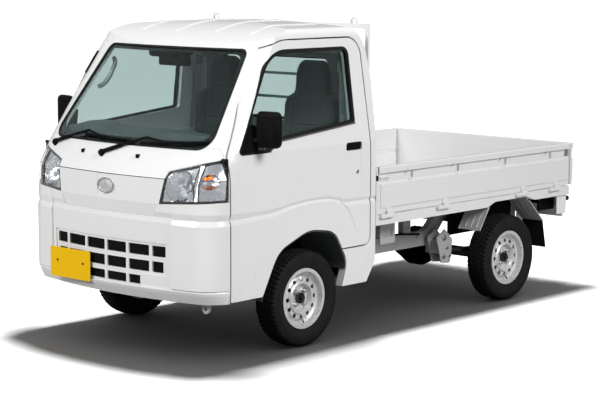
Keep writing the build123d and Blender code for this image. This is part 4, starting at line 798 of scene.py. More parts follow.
# ---- door handles, key cylinders, mirrors
handle = {
    "low": (0.7195, -0.5545, 1.0625), "high": (0.7368, -0.4265, 1.1035), "edge": 0.008, "outerX": 0.7285,
    "taper": 0.006, "taperFrom": 0.3
}
flap = block(handle["low"], handle["high"], handle["edge"], 4)
for vertex in flap.data.vertices:
    lower = (handle["high"][2] - vertex.co.z) / (handle["high"][2] - handle["low"][2])
    if vertex.co.x > handle["outerX"]:
        vertex.co.x -= handle["taper"] * max(0.0, lower - handle["taperFrom"])
dressPair("doorHandleLeft", flap, "blackPlastic", "door_left")
keyProfile = [
    (-0.003, 0), (-0.003, 0.0125), (0.001, 0.0125), (0.0022, 0.011), (0.0022, 0.0085), (0.0, 0.008),
    (0.0002, 0.0)]
dressPair("keyCylinderLeft", turned(keyProfile, (0.736, -0.457, 0.937), steps=32), "zincSteel", "door_left")
dressPair(
    "keySlotLeft", block((0.735, -0.4582, 0.9315), (0.7369, -0.4558, 0.9425), 0.0004, 1), "glossBlack",
    "door_left")
plugProfile = [(-0.002, 0), (-0.002, 0.0095), (0.0008, 0.0092), (0.002, 0.006), (0.0022, 0)]
dressPair("sidePlugLeft", turned(plugProfile, (0.7375, -1.282, 0.446), steps=28), "whitePaint", "door_left")

mirror = {
    "low": (0.741, -1.3005, 1.1335), "high": (0.8794, -1.2185, 1.3265), "edge": 0.03,
    "plate": [(-1.404, 1.107, 0.014), (-1.262, 1.107, 0.008), (-1.262, 1.25, 0.008), (-1.318, 1.25, 0.008)],
    "arm": [(0.712, -1.292, 1.168), (0.735, -1.292, 1.17), (0.758, -1.28, 1.176), (0.78, -1.268, 1.19)],
    "brace": [(0.715, -1.275, 1.146), (0.742, -1.277, 1.15), (0.765, -1.268, 1.165)],
    "armRadius": 0.0165, "braceRadius": 0.011, "sweep": 0.034, "sweepFrom": 0.25, "sweepPower": 1.3,
    "neck": 0.016, "neckTo": 0.3, "lean": 0.03, "rimWidth": 0.005, "rimStep": 0.001, "rimDepth": -0.006,
    "paneArea": 0.004, "paneGap": 0.0008, "paneThickness": 0.0015
}
head = block(mirror["low"], mirror["high"], mirror["edge"], 6)
for vertex in head.data.vertices:
    share = (vertex.co.x - mirror["low"][0]) / (mirror["high"][0] - mirror["low"][0])
    depth = (mirror["high"][1] - vertex.co.y) / (mirror["high"][1] - mirror["low"][1])
    swept = max(0.0, share - mirror["sweepFrom"]) ** mirror["sweepPower"]
    necked = max(0.0, mirror["neckTo"] - share)
    vertex.co.y += depth * mirror["sweep"] * swept + mirror["neck"] * depth * necked
    vertex.co.y -= mirror["lean"] * (1 - share) * (1 - depth)
edited(head, (bpy.ops.mesh.select_all, {"action": "DESELECT"}))
for face in head.data.polygons:
    face.select = face.normal.y > 0.9 and face.area > mirror["paneArea"]
bpy.ops.object.mode_set(mode="EDIT")
bpy.ops.mesh.select_mode(type="FACE")
bpy.ops.mesh.inset(thickness=mirror["rimWidth"], depth=0)
bpy.ops.mesh.inset(thickness=mirror["rimStep"], depth=mirror["rimDepth"])
bpy.ops.object.mode_set(mode="OBJECT")
paneLoop = [vertex.co + Vector((0, mirror["paneGap"], 0)) for vertex in head.data.vertices if vertex.select]
mirrorParts = [
    head, tube(mirror["arm"], mirror["armRadius"], 6), tube(mirror["brace"], mirror["braceRadius"], 5),
    patch(mirror["plate"], onSide, -0.0025, 0.018)]
heads = dressPair("mirrorHeadLeft", mirrorParts, "blackPlastic", "door_left")
for piece, node in zip(heads, ("door_mirror_left", "door_mirror_right")):
    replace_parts(piece, node)
pane = edited(meshPart(paneLoop, []), (bpy.ops.mesh.convex_hull, {}))
dressPair(
    "mirrorPaneLeft", applied(pane, "SOLIDIFY", thickness=mirror["paneThickness"]), "mirrorGlass",
    "door_left")
print("doors ready")


# ---- tyres and wheel fittings
wheels = {
    "front_left": (0.6525, -0.869), "front_right": (-0.6525, -0.869), "rear_left": (0.65, 1.031),
    "rear_right": (-0.65, 1.031)
}
wheelZ = 0.2685
tyre = {
    "lugs": 60, "stepsPerLug": 6, "lugFrom": 4, "lugDepth": 0.0088, "sipeDepth": 0.005, "nickDepth": 0.0012,
    "shoulderReach": 0.0459, "shoulderRadius": 0.2515, "nickRadius": 0.2595, "slope": 0.008,
    "ribLow": 0.0099, "ribHigh": 0.0386, "ribRadius": 0.264, "bead": 0.0505, "beadRadius": 0.1504,
    "profile": [
        (-0.0505, 0.1524), (-0.054, 0.156), (-0.0535, 0.1665), (-0.0552, 0.172), (-0.0608, 0.1765),
        (-0.0626, 0.184), (-0.0688, 0.196), (-0.0722, 0.21), (-0.0733, 0.222), (-0.073, 0.2262),
        (-0.0716, 0.2268), (-0.0714, 0.2325), (-0.0727, 0.2331), (-0.0712, 0.24), (-0.0688, 0.247),
        (-0.0672, 0.252), (-0.064, 0.2585), (-0.0605, 0.2618), (-0.0555, 0.2637), (-0.0462, 0.2652),
        (-0.0452, 0.2585), (-0.0395, 0.2585), (-0.0385, 0.2661), (-0.0175, 0.2679), (-0.0165, 0.2605),
        (-0.011, 0.2605), (-0.01, 0.2683)]
}


def tyrePart(centre):
    left = tyre["profile"]
    profile = left + [(-reach, radius) for reach, radius in reversed(left)]
    profile += [(tyre["bead"], tyre["beadRadius"]), (-tyre["bead"], tyre["beadRadius"])]
    steps = tyre["lugs"] * tyre["stepsPerLug"]
    piece = turned(profile, centre, steps=steps)
    for vertex in piece.data.vertices:
        out = vertex.co - Vector(centre)
        reach, radius = abs(out.x), math.hypot(out.y, out.z)
        step = round((math.atan2(out.z, out.y) / (2 * math.pi)) * steps) % steps
        place = step % tyre["stepsPerLug"]
        drop = 0.0
        if reach > tyre["shoulderReach"] and radius > tyre["shoulderRadius"]:
            if place >= tyre["lugFrom"]:
                drop = tyre["lugDepth"] * min(1.0, (radius - tyre["shoulderRadius"]) / tyre["slope"])
            elif place == 1 and radius > tyre["nickRadius"]:
                drop = tyre["nickDepth"]
        elif tyre["ribLow"] <= reach <= tyre["ribHigh"] and radius > tyre["ribRadius"]:
            drop = tyre["sipeDepth"] if (step + (3 if out.x > 0 else 0)) % tyre["stepsPerLug"] == 0 else 0.0
        if drop:
            scale = (radius - drop) / radius
            vertex.co = Vector(centre) + Vector((out.x, out.y * scale, out.z * scale))
    return piece


fitting = {
    "cap": [(0.004, 0), (0.004, 0.03), (0.03, 0.03), (0.036, 0.0285), (0.0385, 0.024), (0.0395, 0.0)],
    "hubNut": [(0.036, 0), (0.036, 0.017), (0.049, 0.017), (0.0515, 0.0145), (0.0515, 0)],
    "nut": [
        (0.0165, 0.0), (0.0165, 0.0125), (0.021, 0.0128), (0.0215, 0.0108), (0.033, 0.0108),
        (0.0352, 0.0086), (0.0352, 0.0062), (0.039, 0.0058), (0.039, 0.0)],
    "washer": [(0.0162, 0.0), (0.0162, 0.0175), (0.019, 0.0165), (0.0195, 0.0)], "boltCircle": 0.05,
    "nuts": 4, "valveRadius": 0.0036
}
for corner, (x, y) in wheels.items():
    body, tag = "wheel_" + corner, corner.replace("_l", "L").replace("_r", "R")
    middle, side = Vector((x, y, wheelZ)), math.copysign(1, x)
    axis = (side, 0, 0)
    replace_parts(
        dress("tyre" + tag[0].upper() + tag[1:], tyrePart((x, y, wheelZ)), "tyreRubber", body, 34),
        "tyre_" + corner)
    dress(
        tag + "HubCap",
        [turned(fitting["cap"], middle, axis, 40), turned(fitting["hubNut"], middle, axis, 6)],
        "glossBlack", body, 30)
    nuts = []
    for index in range(fitting["nuts"]):
        angle = math.pi / 4 + index * math.pi / 2
        place = middle + Vector(
            (0, fitting["boltCircle"] * math.cos(angle), fitting["boltCircle"] * math.sin(angle)))
        nuts += [turned(fitting["nut"], place, axis, 6), turned(fitting["washer"], place, axis, 24)]
    dress(tag + "Nuts", nuts, "zincSteel", body, 30)
    start = middle + Vector((side * 0.036, 0.0, -0.118))
    valve = [start, start + Vector((side * 0.012, 0, -0.008)), start + Vector((side * 0.017, 0, -0.02))]
    dress(tag + "Valve", tube(valve, fitting["valveRadius"]), "sealRubber", body, 40)
print("wheels ready")


# ---- bed: rope hooks, hinge leaves, latches, caps
# A hook's rod is given as (out from the band, along the truck, height)
bed = {
    "hookPlaces": [0.005, 0.445, 0.925, 1.409], "hookRadius": 0.0034, "bandX": 0.7232,
    "hookRod": [
        (-0.004, -0.026, 0.897), (0.009, -0.026, 0.8985), (0.0105, -0.024, 0.91), (0.0105, -0.01, 0.9175),
        (0.0105, 0.012, 0.9165), (0.0105, 0.026, 0.906), (0.0105, 0.029, 0.888), (0.009, 0.027, 0.868),
        (-0.004, 0.026, 0.864)],
    "dome": [(-0.002, 0.0), (-0.002, 0.0125), (0.005, 0.0105), (0.009, 0.006), (0.01, 0.0)],
    "hingePlaces": [-0.205, 0.318, 1.115, 1.476], "pinX": 0.745, "pinZ": 0.662,
    "rearHinges": [-0.52, 0.0, 0.52], "rearPinY": 1.6895
}
x = bed["bandX"]
rods, plates = [], []
for y in bed["hookPlaces"]:
    plates += [
        block((x - 0.001, y - 0.038, 0.884), (x + 0.0035, y - 0.014, 0.91), 0.0015, 2),
        block((x - 0.001, y + 0.013, 0.857), (x + 0.004, y + 0.041, 0.872), 0.0018, 2),
        turned(bed["dome"], (x + 0.0045, y + 0.012, 0.8535), steps=20)]
    rods.append(tube([(x + out, y + along, z) for out, along, z in bed["hookRod"]], bed["hookRadius"], 3))
dressPair("ropeHooksLeft", rods, "zincSteel", "side_gate_left")
dressPair("hookPlatesLeft", plates, "bedPaint", "side_gate_left")


def hingeLeaf(low, high):
    return block(
        (bed["pinX"] - 0.0095, low, bed["pinZ"] - 0.0115),
        (bed["pinX"] + 0.0095, high, bed["pinZ"] + 0.0115), 0.003, 2)


moving, fixed = [], []
for y in bed["hingePlaces"]:
    moving += [
        hingeLeaf(y + 0.001, y + 0.057),
        block((0.7275, y + 0.006, 0.67), (0.7375, y + 0.052, 0.7085), 0.0018, 2)]
    fixed += [
        hingeLeaf(y - 0.058, y - 0.001),
        rod([(bed["pinX"], y - 0.062, bed["pinZ"]), (bed["pinX"], y + 0.061, bed["pinZ"])], 0.0042)]
dressPair("gateHingeLeafLeft", moving, "bedPaint", "side_gate_left")
dressPair("gateHingeSeatLeft", fixed, "bedPaint")
rearMoving, rearFixed = [], []
for place in bed["rearHinges"]:
    for x, kept in ((place + 0.001, rearMoving), (place - 0.058, rearFixed)):
        kept.append(
            block(
                (x, bed["rearPinY"] - 0.0075, bed["pinZ"] - 0.0095),
                (x + 0.057, 1.6974, bed["pinZ"] + 0.0095), 0.0025, 2))
    rearMoving.append(block((place + 0.006, 1.681, 0.668), (place + 0.052, 1.6905, 0.708), 0.0018, 2))
dress("tailgateHingeLeaves", rearMoving, "bedPaint", "tailgate")
dress("tailgateHingeSeats", rearFixed, "bedPaint")

# Front latch of each side gate and the rubber caps at the gates' ends
latchPivot = [(-0.001, 0), (-0.001, 0.01), (0.0085, 0.009), (0.0095, 0)]
dressPair(
    "gateLatchLeft",
    [
        block((0.7215, -0.262, 0.864), (0.7262, -0.176, 0.901), 0.0015, 2),
        block((0.7255, -0.256, 0.878), (0.7345, -0.196, 0.889)),
        tube([(0.7305, -0.2, 0.8835), (0.735, -0.19, 0.8835), (0.735, -0.178, 0.878)], 0.0034),
        turned(latchPivot, (0.726, -0.245, 0.8835), steps=20)],
    "bedPaint", "side_gate_left")
dressPair(
    "gateStrikerLeft",
    [
        block((0.7345, -0.2945, 0.868), (0.7372, -0.2745, 0.898), 0.001, 2),
        block((0.7225, -0.286, 0.8785), (0.7365, -0.272, 0.8885), 0.003, 2)],
    "blackPlastic")
dressPair(
    "gateCapLeft", block((0.7035, -0.274, 0.91), (0.7373, -0.2665, 0.9455), 0.0032, 2), "sealRubber",
    "side_gate_left")
dressPair(
    "gateEndCatchLeft",
    [
        block((0.7215, 1.604, 0.861), (0.728, 1.641, 0.904), 0.0015, 2),
        block((0.7265, 1.618, 0.866), (0.733, 1.627, 0.899), 0.0025, 2)],
    "zincSteel", "side_gate_left")
rearLatch = []
for x in (-0.62, 0.62):
    rearLatch += [
        block((x - 0.045, 1.6765, 0.862), (x + 0.045, 1.681, 0.902), 0.0015, 2),
        block((x - 0.038, 1.68, 0.876), (x + 0.038, 1.688, 0.889))]
dress("tailgateLatches", rearLatch, "bedPaint", "tailgate")
print("bed ready")


# ---- rear: lamp sections, plate place, splash guard ribs, frame bolts
sides = (-1, 1)
tailLamp = {
    "lowY": 1.6575, "highY": 1.6655, "lowZ": 0.488, "highZ": 0.552, "ribs": 6, "ribLow": 0.4945,
    "ribPitch": 0.0105, "ribInset": 0.005, "ribRadius": 0.0011,
    "sections": [
        ("tailLampRed", "lampRed", 0.422, 0.494), ("tailLampAmber", "amberPlastic", 0.496, 0.541),
        ("tailLampClear", "lampBowl", 0.543, 0.588)]
}
for name, finish, near, far in tailLamp["sections"]:
    parts = []
    for side in sides:
        parts.append(
            block(
                (side * near, tailLamp["lowY"], tailLamp["lowZ"]),
                (side * far, tailLamp["highY"], tailLamp["highZ"])))
        ends = side * (near + tailLamp["ribInset"]), side * (far - tailLamp["ribInset"])
        for row in range(tailLamp["ribs"]):
            z = tailLamp["ribLow"] + row * tailLamp["ribPitch"]
            parts.append(rod([(x, tailLamp["highY"], z) for x in ends], tailLamp["ribRadius"], 1))
    dress(name, parts, finish)
dress(
    "rearPlatePlace",
    [
        block((-0.17, 1.6235, 0.494), (0.17, 1.6285, 0.596), 0.002, 2),
        block((-0.045, 1.6285, 0.588), (0.045, 1.655, 0.607), 0.004)],
    "blackPlastic")
# Runs have their lower and upper end as (y, z), those of ribs also the shares of the way that a rib passes
guard = {
    "ribs": (0.602, 0.643, 0.684), "edges": (0.561, 0.721), "ribRadius": 0.0055, "edgeRadius": 0.0042,
    "ribRuns": [
        ((0.7155, 0.477), (0.7965, 0.588), (0.1, 0.5, 0.92)),
        ((1.3755, 0.4745), (1.253, 0.5895), (0.08, 0.5, 0.94))],
    "edgeRuns": [((0.7125, 0.471), (0.8055, 0.6085)), ((1.3815, 0.468), (1.2305, 0.6085))]
}
ribs = []
for side in sides:
    for x in guard["ribs"]:
        for low, high, shares in guard["ribRuns"]:
            ends = Vector((side * x, *low)), Vector((side * x, *high))
            ribs.append(rod([ends[0].lerp(ends[1], share) for share in shares], guard["ribRadius"]))
    for low, high in guard["edgeRuns"]:
        ribs += [rod([(side * x, *low), (side * x, *high)], guard["edgeRadius"]) for x in guard["edges"]]
dress("splashRibs", ribs, "framePaint")
bolt = {
    "hexes": [
        (0.628, 0.3, 0.011), (0.66, 0.352, 0.0085), (0.632, 0.415, 0.0135), (0.69, 0.3, 0.008),
        (1.44, 0.43, 0.013), (1.42, 0.53, 0.008), (1.462, 0.53, 0.008)],
    "hexX": 0.51, "railX": 0.4, "screws": (-0.16, -0.02, 0.395, 0.42), "screwZ": 0.485,
    "screw": [(-0.003, 0), (-0.003, 0.013), (0.002, 0.013), (0.0025, 0.009), (0.009, 0.0085), (0.01, 0)],
    "rivets": (-1.1, -0.6, -0.35, 0.08, 0.26, 0.5), "rivetZ": 0.425,
    "rivet": [(-0.003, 0), (-0.003, 0.01), (0.003, 0.008), (0.0045, 0)]
}
bolts = []
for side in sides:
    axis = (side, 0, 0)
    for y, z, radius in bolt["hexes"]:
        bolts.append(
            turned(
                [
                    (-0.004, 0), (-0.004, radius * 1.5), (0.0015, radius * 1.5), (0.002, radius),
                    (0.01, radius * 0.95), (0.011, 0)],
                (side * bolt["hexX"], y, z), axis, 6))
    bolts += [
        turned(bolt["screw"], (side * bolt["railX"], y, bolt["screwZ"]), axis, 6) for y in bolt["screws"]]
    bolts += [
        turned(bolt["rivet"], (side * bolt["railX"], y, bolt["rivetZ"]), axis, 12) for y in bolt["rivets"]]
dress("frameBolts", bolts, "zincSteel")

# Under the bed: dark brake plates, dampers, pipes, differential and air case, and black sheets of painted
# shade behind and inside the rear wheels
under = {
    "axleY": 1.02, "axleZ": 0.27,
    "brakePlate": [(-0.006, 0.0), (-0.006, 0.15), (0.006, 0.155), (0.01, 0.148), (0.004, 0.13), (0.0, 0.0)],
    "differential": [
        (-0.14, 0.0), (-0.14, 0.055), (-0.09, 0.1), (-0.04, 0.125), (0.04, 0.125), (0.09, 0.1),
        (0.14, 0.055), (0.14, 0.0)],
    "pinion": [(-0.02, 0.0), (-0.02, 0.085), (0.08, 0.075), (0.13, 0.045), (0.135, 0.0)],
    "airCase": [(-0.22, 0.0), (-0.22, 0.055), (-0.2, 0.068), (0.2, 0.068), (0.22, 0.055), (0.22, 0.0)]
}
parts = []
for side in sides:
    shadeShield, wall = (sorted((side * near, side * far)) for near, far in ((0.64, 0.655), (0.452, 0.458)))
    parts += [
        turned(under["brakePlate"], (side * 0.545, under["axleY"], under["axleZ"]), (side, 0, 0)),
        rod([(side * 0.43, 1.1, 0.27), (side * 0.41, 1.25, 0.43)], 0.026),
        rod([(side * 0.415, 1.21, 0.39), (side * 0.4, 1.33, 0.52)], 0.014),
        # The block behind each rear wheel and the wall inside it are black sheets of painted shade
        block((shadeShield[0], 1.43, 0.515), (shadeShield[1], 1.605, 0.612), 0.004, 2),
        block((wall[0], 0.735, 0.413), (wall[1], 1.4, 0.606), 0.002, 1),
        rod([(side * 0.404, -0.24, 0.462), (side * 0.404, 0.3, 0.462), (side * 0.404, 0.52, 0.44)], 0.006)]
parts += [
    turned(under["differential"], (0.0, under["axleY"], under["axleZ"]), steps=40),
    turned(under["pinion"], (0.0, 0.95, 0.285), (0, -1, 0), 32),
    turned(under["airCase"], (0.02, 0.33, 0.525), (0, 1, 0), 36)]
dress("underbodyPartsAndShade", parts, "blackPlastic")
print("rear ready")


# ---- seats: cushion and high back swell in a cloth simulation, then get their seams
seats = {
    "x": 0.352, "voxel": 0.0062, "pressure": 4.0, "quality": 5, "frames": 20, "cushionCap": 0.012,
    "backCap": 0.01, "shrink": 0.008, "rounding": 6, "crownZ": 1.4, "topZ": 1.556, "crownTaper": 0.8,
    "seamDepth": 0.006, "seamWidth": 0.009, "panelHalf": 0.135, "cushionPanelHalf": 0.155,
    "cushionEdgeZ": 0.765, "cushionSeams": (-0.7, -0.86), "backSeams": (0.98, 1.17, 1.355), "fill": 0.7,
    "upFacing": 0.3, "downFacing": -0.2, "frontFacing": 0.45, "panelTaper": 0.25, "taperLow": 0.75,
    "taperHeight": 0.6, "headZ": 1.3
}


def puffed(node, cap):
    # The left one of two like solids in a node, shrunk a little, remeshed and blown up
    copy = copyOf(nodes[node], "part")
    for key in list(copy.keys()):
        del copy[key]
    shape = bmesh.new()
    shape.from_mesh(copy.data)
    bmesh.ops.delete(shape, geom=[vert for vert in shape.verts if vert.co.x < 0], context="VERTS")
    bmesh.ops.remove_doubles(shape, verts=shape.verts, dist=0.0001)
    bmesh.ops.recalc_face_normals(shape, faces=shape.faces)
    shape.to_mesh(copy.data)
    shape.free()
    applied(copy, "REMESH", mode="VOXEL", voxel_size=seats["voxel"])
    normals = [vertex.normal.copy() for vertex in copy.data.vertices]
    for vertex, normal in zip(copy.data.vertices, normals):
        vertex.co -= normal * seats["shrink"]
        if vertex.co.z > seats["crownZ"]:
            share = min((vertex.co.z - seats["crownZ"]) / (seats["topZ"] - seats["crownZ"]), 1.0)
            narrowed = math.sqrt(1 - seats["crownTaper"] * share ** 3)
            vertex.co.x = seats["x"] + (vertex.co.x - seats["x"]) * narrowed
    applied(copy, "SMOOTH", iterations=seats["rounding"])
    rest = [vertex.co.copy() for vertex in copy.data.vertices]
    cloth = copy.modifiers.new("cloth", "CLOTH")
    cloth.settings.use_pressure = True
    cloth.settings.uniform_pressure_force = seats["pressure"]
    cloth.settings.effector_weights.gravity = 0.0
    cloth.settings.quality = seats["quality"]
    cloth.point_cache.frame_start = 1
    cloth.point_cache.frame_end = seats["frames"]
    for frameNumber in range(1, seats["frames"] + 1):
        bpy.context.scene.frame_set(frameNumber)
    pick(copy)
    bpy.ops.object.modifier_apply(modifier=cloth.name)
    bpy.context.scene.frame_set(1)
    for vertex, start in zip(copy.data.vertices, rest):
        move = vertex.co - start
        if move.length > cap:
            vertex.co = start + move.normalized() * cap
    return copy


def sewn(piece, seam):
    # Grooves where the seam function, a distance, is near zero
    normals = [vertex.normal.copy() for vertex in piece.data.vertices]
    for vertex, normal in zip(piece.data.vertices, normals):
        near = abs(seam(vertex.co, normal))
        if near < seats["seamWidth"]:
            share = 1 - near / seats["seamWidth"]
            vertex.co -= normal * seats["seamDepth"] * share * share
    return applied(piece, "SUBSURF", levels=1, render_levels=1)


def cushionSeam(point, normal):
    if normal.z < seats["upFacing"]:
        edged = normal.z < seats["downFacing"] or abs(normal.z) < seats["upFacing"]
        return abs(point.z - seats["cushionEdgeZ"]) if edged else 1.0
    side = abs(point.x - seats["x"]) - seats["cushionPanelHalf"]
    cross = min(abs(point.y - y) for y in seats["cushionSeams"])
    return min(abs(side), cross if side < 0 else 1.0)


def backSeam(point, normal):
    if abs(normal.y) < seats["frontFacing"]:
        return 1.0
    raised = max(0.0, (point.z - seats["taperLow"]) / seats["taperHeight"])
    side = abs(point.x - seats["x"]) - seats["panelHalf"] * (1.0 - seats["panelTaper"] * raised)
    cross = min(abs(point.z - z) for z in seats["backSeams"])
    upright = abs(side) if point.z < seats["backSeams"][-1] else 1.0
    return min(upright, cross if side < 0 or point.z > seats["headZ"] else 1.0)


for name, node, cap, seam in (
    ("seatCushionLeft", "seat_cushions", seats["cushionCap"], cushionSeam),
    ("seatBackLeft", "seat_backs", seats["backCap"], backSeam)):
    for piece in dressPair(name, sewn(puffed(node, cap), seam), "seatCloth", smooth=60):
        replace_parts(piece, node)
print("seats ready")


# ---- cab inside: steering wheel, dashboard parts, mirror, visors, belts, grips
steering = {
    "centre": (-0.35, -1.168, 1.052), "tilt": 32.0, "rim": 0.183, "grip": 0.0125, "spoke": 0.0115,
    "spokeAngles": (0, 180, 248, 292),
    "boss": [
        (-0.03, 0.0), (-0.03, 0.045), (-0.022, 0.062), (-0.004, 0.066), (0.0015, 0.058), (0.0035, 0.04),
        (0.004, 0.0)]
}
tilt = math.radians(steering["tilt"])
wheelUp = Vector((0, math.sin(tilt), math.cos(tilt)))
wheelOver = Vector((0, -wheelUp.z, wheelUp.y))
hub = Vector(steering["centre"])


def wheelPoint(angle, radius, lift=0.0):
    turn = math.radians(angle)
    across = Vector((1, 0, 0)) * radius * math.cos(turn)
    return hub + across + wheelOver * radius * math.sin(turn) + wheelUp * lift


rimLoop = [wheelPoint(angle, steering["rim"]) for angle in range(0, 360, 15)]
steeringParts = [tube(rimLoop, steering["grip"], 6, closed=True)]
spokes = [
    tube(
        [
            wheelPoint(angle, 0.05, -0.016), wheelPoint(angle, 0.12, -0.013),
            wheelPoint(angle, steering["rim"] - 0.004)],
        steering["spoke"])
    for angle in steering["spokeAngles"]]
steeringParts += [turned(steering["boss"], hub, wheelUp, 40)] + spokes
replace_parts(dress("steeringWheelTrim", steeringParts, "trimGrey", "steering_wheel", 50), "steering_wheel")

dashTop = {
    "halfWidth": 0.575, "low": 1.055, "crest": 1.2, "rise": 0.022, "hoodX": -0.35, "hoodHalf": 0.17,
    "droop": 0.02, "frontY": -1.46, "rearY": -1.352, "columns": 48
}
points = []
for step in range(dashTop["columns"] + 1):
    x = dashTop["halfWidth"] * (2 * step / dashTop["columns"] - 1)
    lift = max(0.0, 1 - ((x - dashTop["hoodX"]) / dashTop["hoodHalf"]) ** 2) ** 1.5 * dashTop["rise"]
    crest = dashTop["crest"] + lift - dashTop["droop"] * (x / dashTop["halfWidth"]) ** 4
    front, rearY = max(onNose(x, crest, 0.034).y, dashTop["frontY"]), dashTop["rearY"]
    points += [
        (x, onNose(x, 1.06, 0.05).y, dashTop["low"]), (x, onNose(x, 1.12, 0.034).y, 1.118),
        (x, front, crest - 0.004), (x, front + 0.02, crest), (x, rearY - 0.012, crest - 0.001),
        (x, rearY, crest - 0.012), (x, rearY, dashTop["low"])]
rows = dashTop["columns"] + 1
faces = rowFaces(rows, 7, closed=False) + [tuple(range(7)), tuple(range(rows * 7 - 1, rows * 7 - 8, -1))]
dress("dashboardTop", meshPart(points, faces), "trimGrey", smooth=35)
dress(
    "dashboardParts",
    [
        block((-0.115, -1.315, 1.03), (0.115, -1.268, 1.088), 0.012),
        block((0.14, -1.292, 0.9), (0.56, -1.262, 1.0), 0.012),
        block((-0.1, -1.3, 0.86), (0.1, -1.258, 1.0), 0.01)],
    "trimGrey")
vent = {"places": (-0.555, -0.15, 0.15, 0.555), "slats": 4, "low": 1.012, "pitch": 0.011, "half": 0.035}
slats = []
for x in vent["places"]:
    for row in range(vent["slats"]):
        z = vent["low"] + row * vent["pitch"]
        slats.append(block((x - vent["half"], -1.272, z), (x + vent["half"], -1.2615, z + 0.004), 0.001, 1))
dress("dashboardVents", slats, "blackPlastic")
lever = {
    "knob": [(-0.03, 0), (-0.03, 0.012), (-0.01, 0.018), (0.012, 0.022), (0.024, 0.015), (0.028, 0)],
    "gaiter": [(0.0, 0), (0.0, 0.055), (0.03, 0.042), (0.05, 0.03), (0.09, 0.014), (0.1, 0.0)]
}
dress(
    "gearLever",
    [
        tube([(-0.02, -1.17, 0.42), (-0.02, -1.15, 0.6), (-0.03, -1.12, 0.78)], 0.008),
        turned(lever["knob"], (-0.03, -1.118, 0.8), (0, 0.15, 1), 24),
        turned(lever["gaiter"], (-0.02, -1.17, 0.412), (0, 0.05, 1), 24)],
    "blackPlastic")
mirrorUnit = [
    block((-0.125, -1.168, 1.588), (0.115, -1.118, 1.634), 0.014),
    block((-0.185, -1.195, 1.572), (0.06, -1.128, 1.634), 0.022, 4),
    block((-0.118, -1.1755, 1.5265), (0.118, -1.148, 1.5905), 0.0105, 4),
    tube([(0.0, -1.158, 1.575), (0.0, -1.15, 1.6), (0.0, -1.14, 1.625)], 0.009)]
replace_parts(dress("cabMirror", mirrorUnit, "blackPlastic"), "roof_mirror")
dress(
    "sunVisors",
    [
        block((low, -1.125, 1.618), (high, -0.975, 1.634), 0.007)
        for low, high in ((-0.5, -0.14), (0.14, 0.5))],
    "trimPale")
# Trim sheet on the cab's back wall, dark partly as painted shade of that wall
dress(
    "cabBackTrim",
    band(
        symmetric((0.585, 0.72, 0.02), (0.56, 1.585, 0.05)),
        symmetric((0.478, 1.182, 0.045), (0.448, 1.557, 0.045)), onRear, 0.074, 0.081),
    "cabTrimAndPaintedShade")
lining = block((0.583, -0.392, 0.7), (0.648, -0.352, 1.6), 0.012)
for vertex in lining.data.vertices:
    vertex.co.x -= max(0.0, vertex.co.z - cabSkin["beltZ"]) * 0.13
dressPair("pillarTrimLeft", lining, "trimPale")
belt = {
    "line": [(0.575, -0.412, 1.5), (0.578, -0.415, 1.25), (0.583, -0.418, 0.95), (0.588, -0.42, 0.72)],
    "halfWidth": 0.023, "halfThickness": 0.001, "overlap": 0.002
}
web = []
for (x, y, low), (_, _, high) in zip(belt["line"][1:], belt["line"]):
    web.append(
        block(
            (x - belt["halfThickness"], y - belt["halfWidth"], low - belt["overlap"]),
            (x + belt["halfThickness"], y + belt["halfWidth"], high), 0.0006, 1))
guide = block((0.566, -0.447, 1.485), (0.582, -0.385, 1.54), 0.007)
dressPair("beltWebLeft", web, "beltWeb")
dressPair("beltGuideLeft", guide, "trimPale")
dressPair(
    "pillarGripLeft",
    tube(
        [
            (0.573, -1.215, 1.385), (0.553, -1.205, 1.395), (0.533, -1.178, 1.43), (0.527, -1.152, 1.475),
            (0.532, -1.125, 1.52), (0.558, -1.108, 1.545)],
        0.013),
    "trimPale")
dressPair(
    "doorTrimLeft",
    [
        block((0.612, -1.02, 0.93), (0.656, -0.64, 0.968), 0.012),
        block((0.628, -0.93, 0.99), (0.657, -0.8, 1.03), 0.009),
        block((0.622, -1.25, 0.72), (0.656, -0.66, 0.8), 0.012)],
    "trimPale", "door_left")
pedals = []
for x in (-0.47, -0.37, -0.26):
    pedals += [
        block((x - 0.028, -1.405, 0.5), (x + 0.028, -1.385, 0.556), 0.006, 2),
        tube([(x, -1.402, 0.54), (x, -1.44, 0.62), (x, -1.47, 0.72)], 0.006)]
dress("pedals", pedals, "blackPlastic")
print("cab ready")


# ---- arch liners
arch = {
    "outline": [
        (-1.232, 0.2, 0.0), (-1.232, 0.318, 0.06), (-1.105, 0.556, 0.186), (-0.861, 0.6475, 0.255),
        (-0.649, 0.6165, 0.126), (-0.5475, 0.442, 0.115), (-0.6, 0.2, 0.0)],
    "lowest": 0.302, "middle": (-0.87, 0.3), "thickness": 0.004, "outerX": 0.7325, "innerX": 0.424
}
archLine = [point for point in roundedOutline(arch["outline"], 8) if point.y > arch["lowest"]]
points = []
for point in archLine:
    inner = point + (Vector(arch["middle"]) - point).normalized() * arch["thickness"]
    points += [
        (arch["outerX"], *point), (arch["outerX"], *inner), (arch["innerX"], *inner),
        (arch["innerX"], *point)]
faces = rowFaces(len(archLine), 4, closed=False)
faces += [(0, 1, 2, 3), tuple(len(points) - 4 + corner for corner in range(4))]
dressPair("archLinerLeft", meshPart(points, faces), "trimGrey")
print("arches ready")


# ---- studio
studio = {
    "floorRadius": 60.0, "floorZ": -0.0005, "floorColor": (0.1, 0.1, 0.1), "seenColor": (0.4, 0.4, 0.4),
    "farLift": 0.95, "nearFade": 3.0, "farFade": 9.0, "skyLow": 0.14, "skyHigh": 0.4, "aim": (0, 0, 0.8),
    "lamps": {
        "floorLamp": {"place": (-0.5, 0.55, 7.2), "size": 1.6, "power": 2750.0},
        "top": {"place": (-1.2, 1.7, 7.0), "size": 2.6, "power": 150.0},
        "front": {"place": (-1.5, -8.6, 5.4), "size": 3.4, "power": 560.0},
        "side": {"place": (8.2, -1.0, 5.9), "size": 3.4, "power": 610.0}}
}


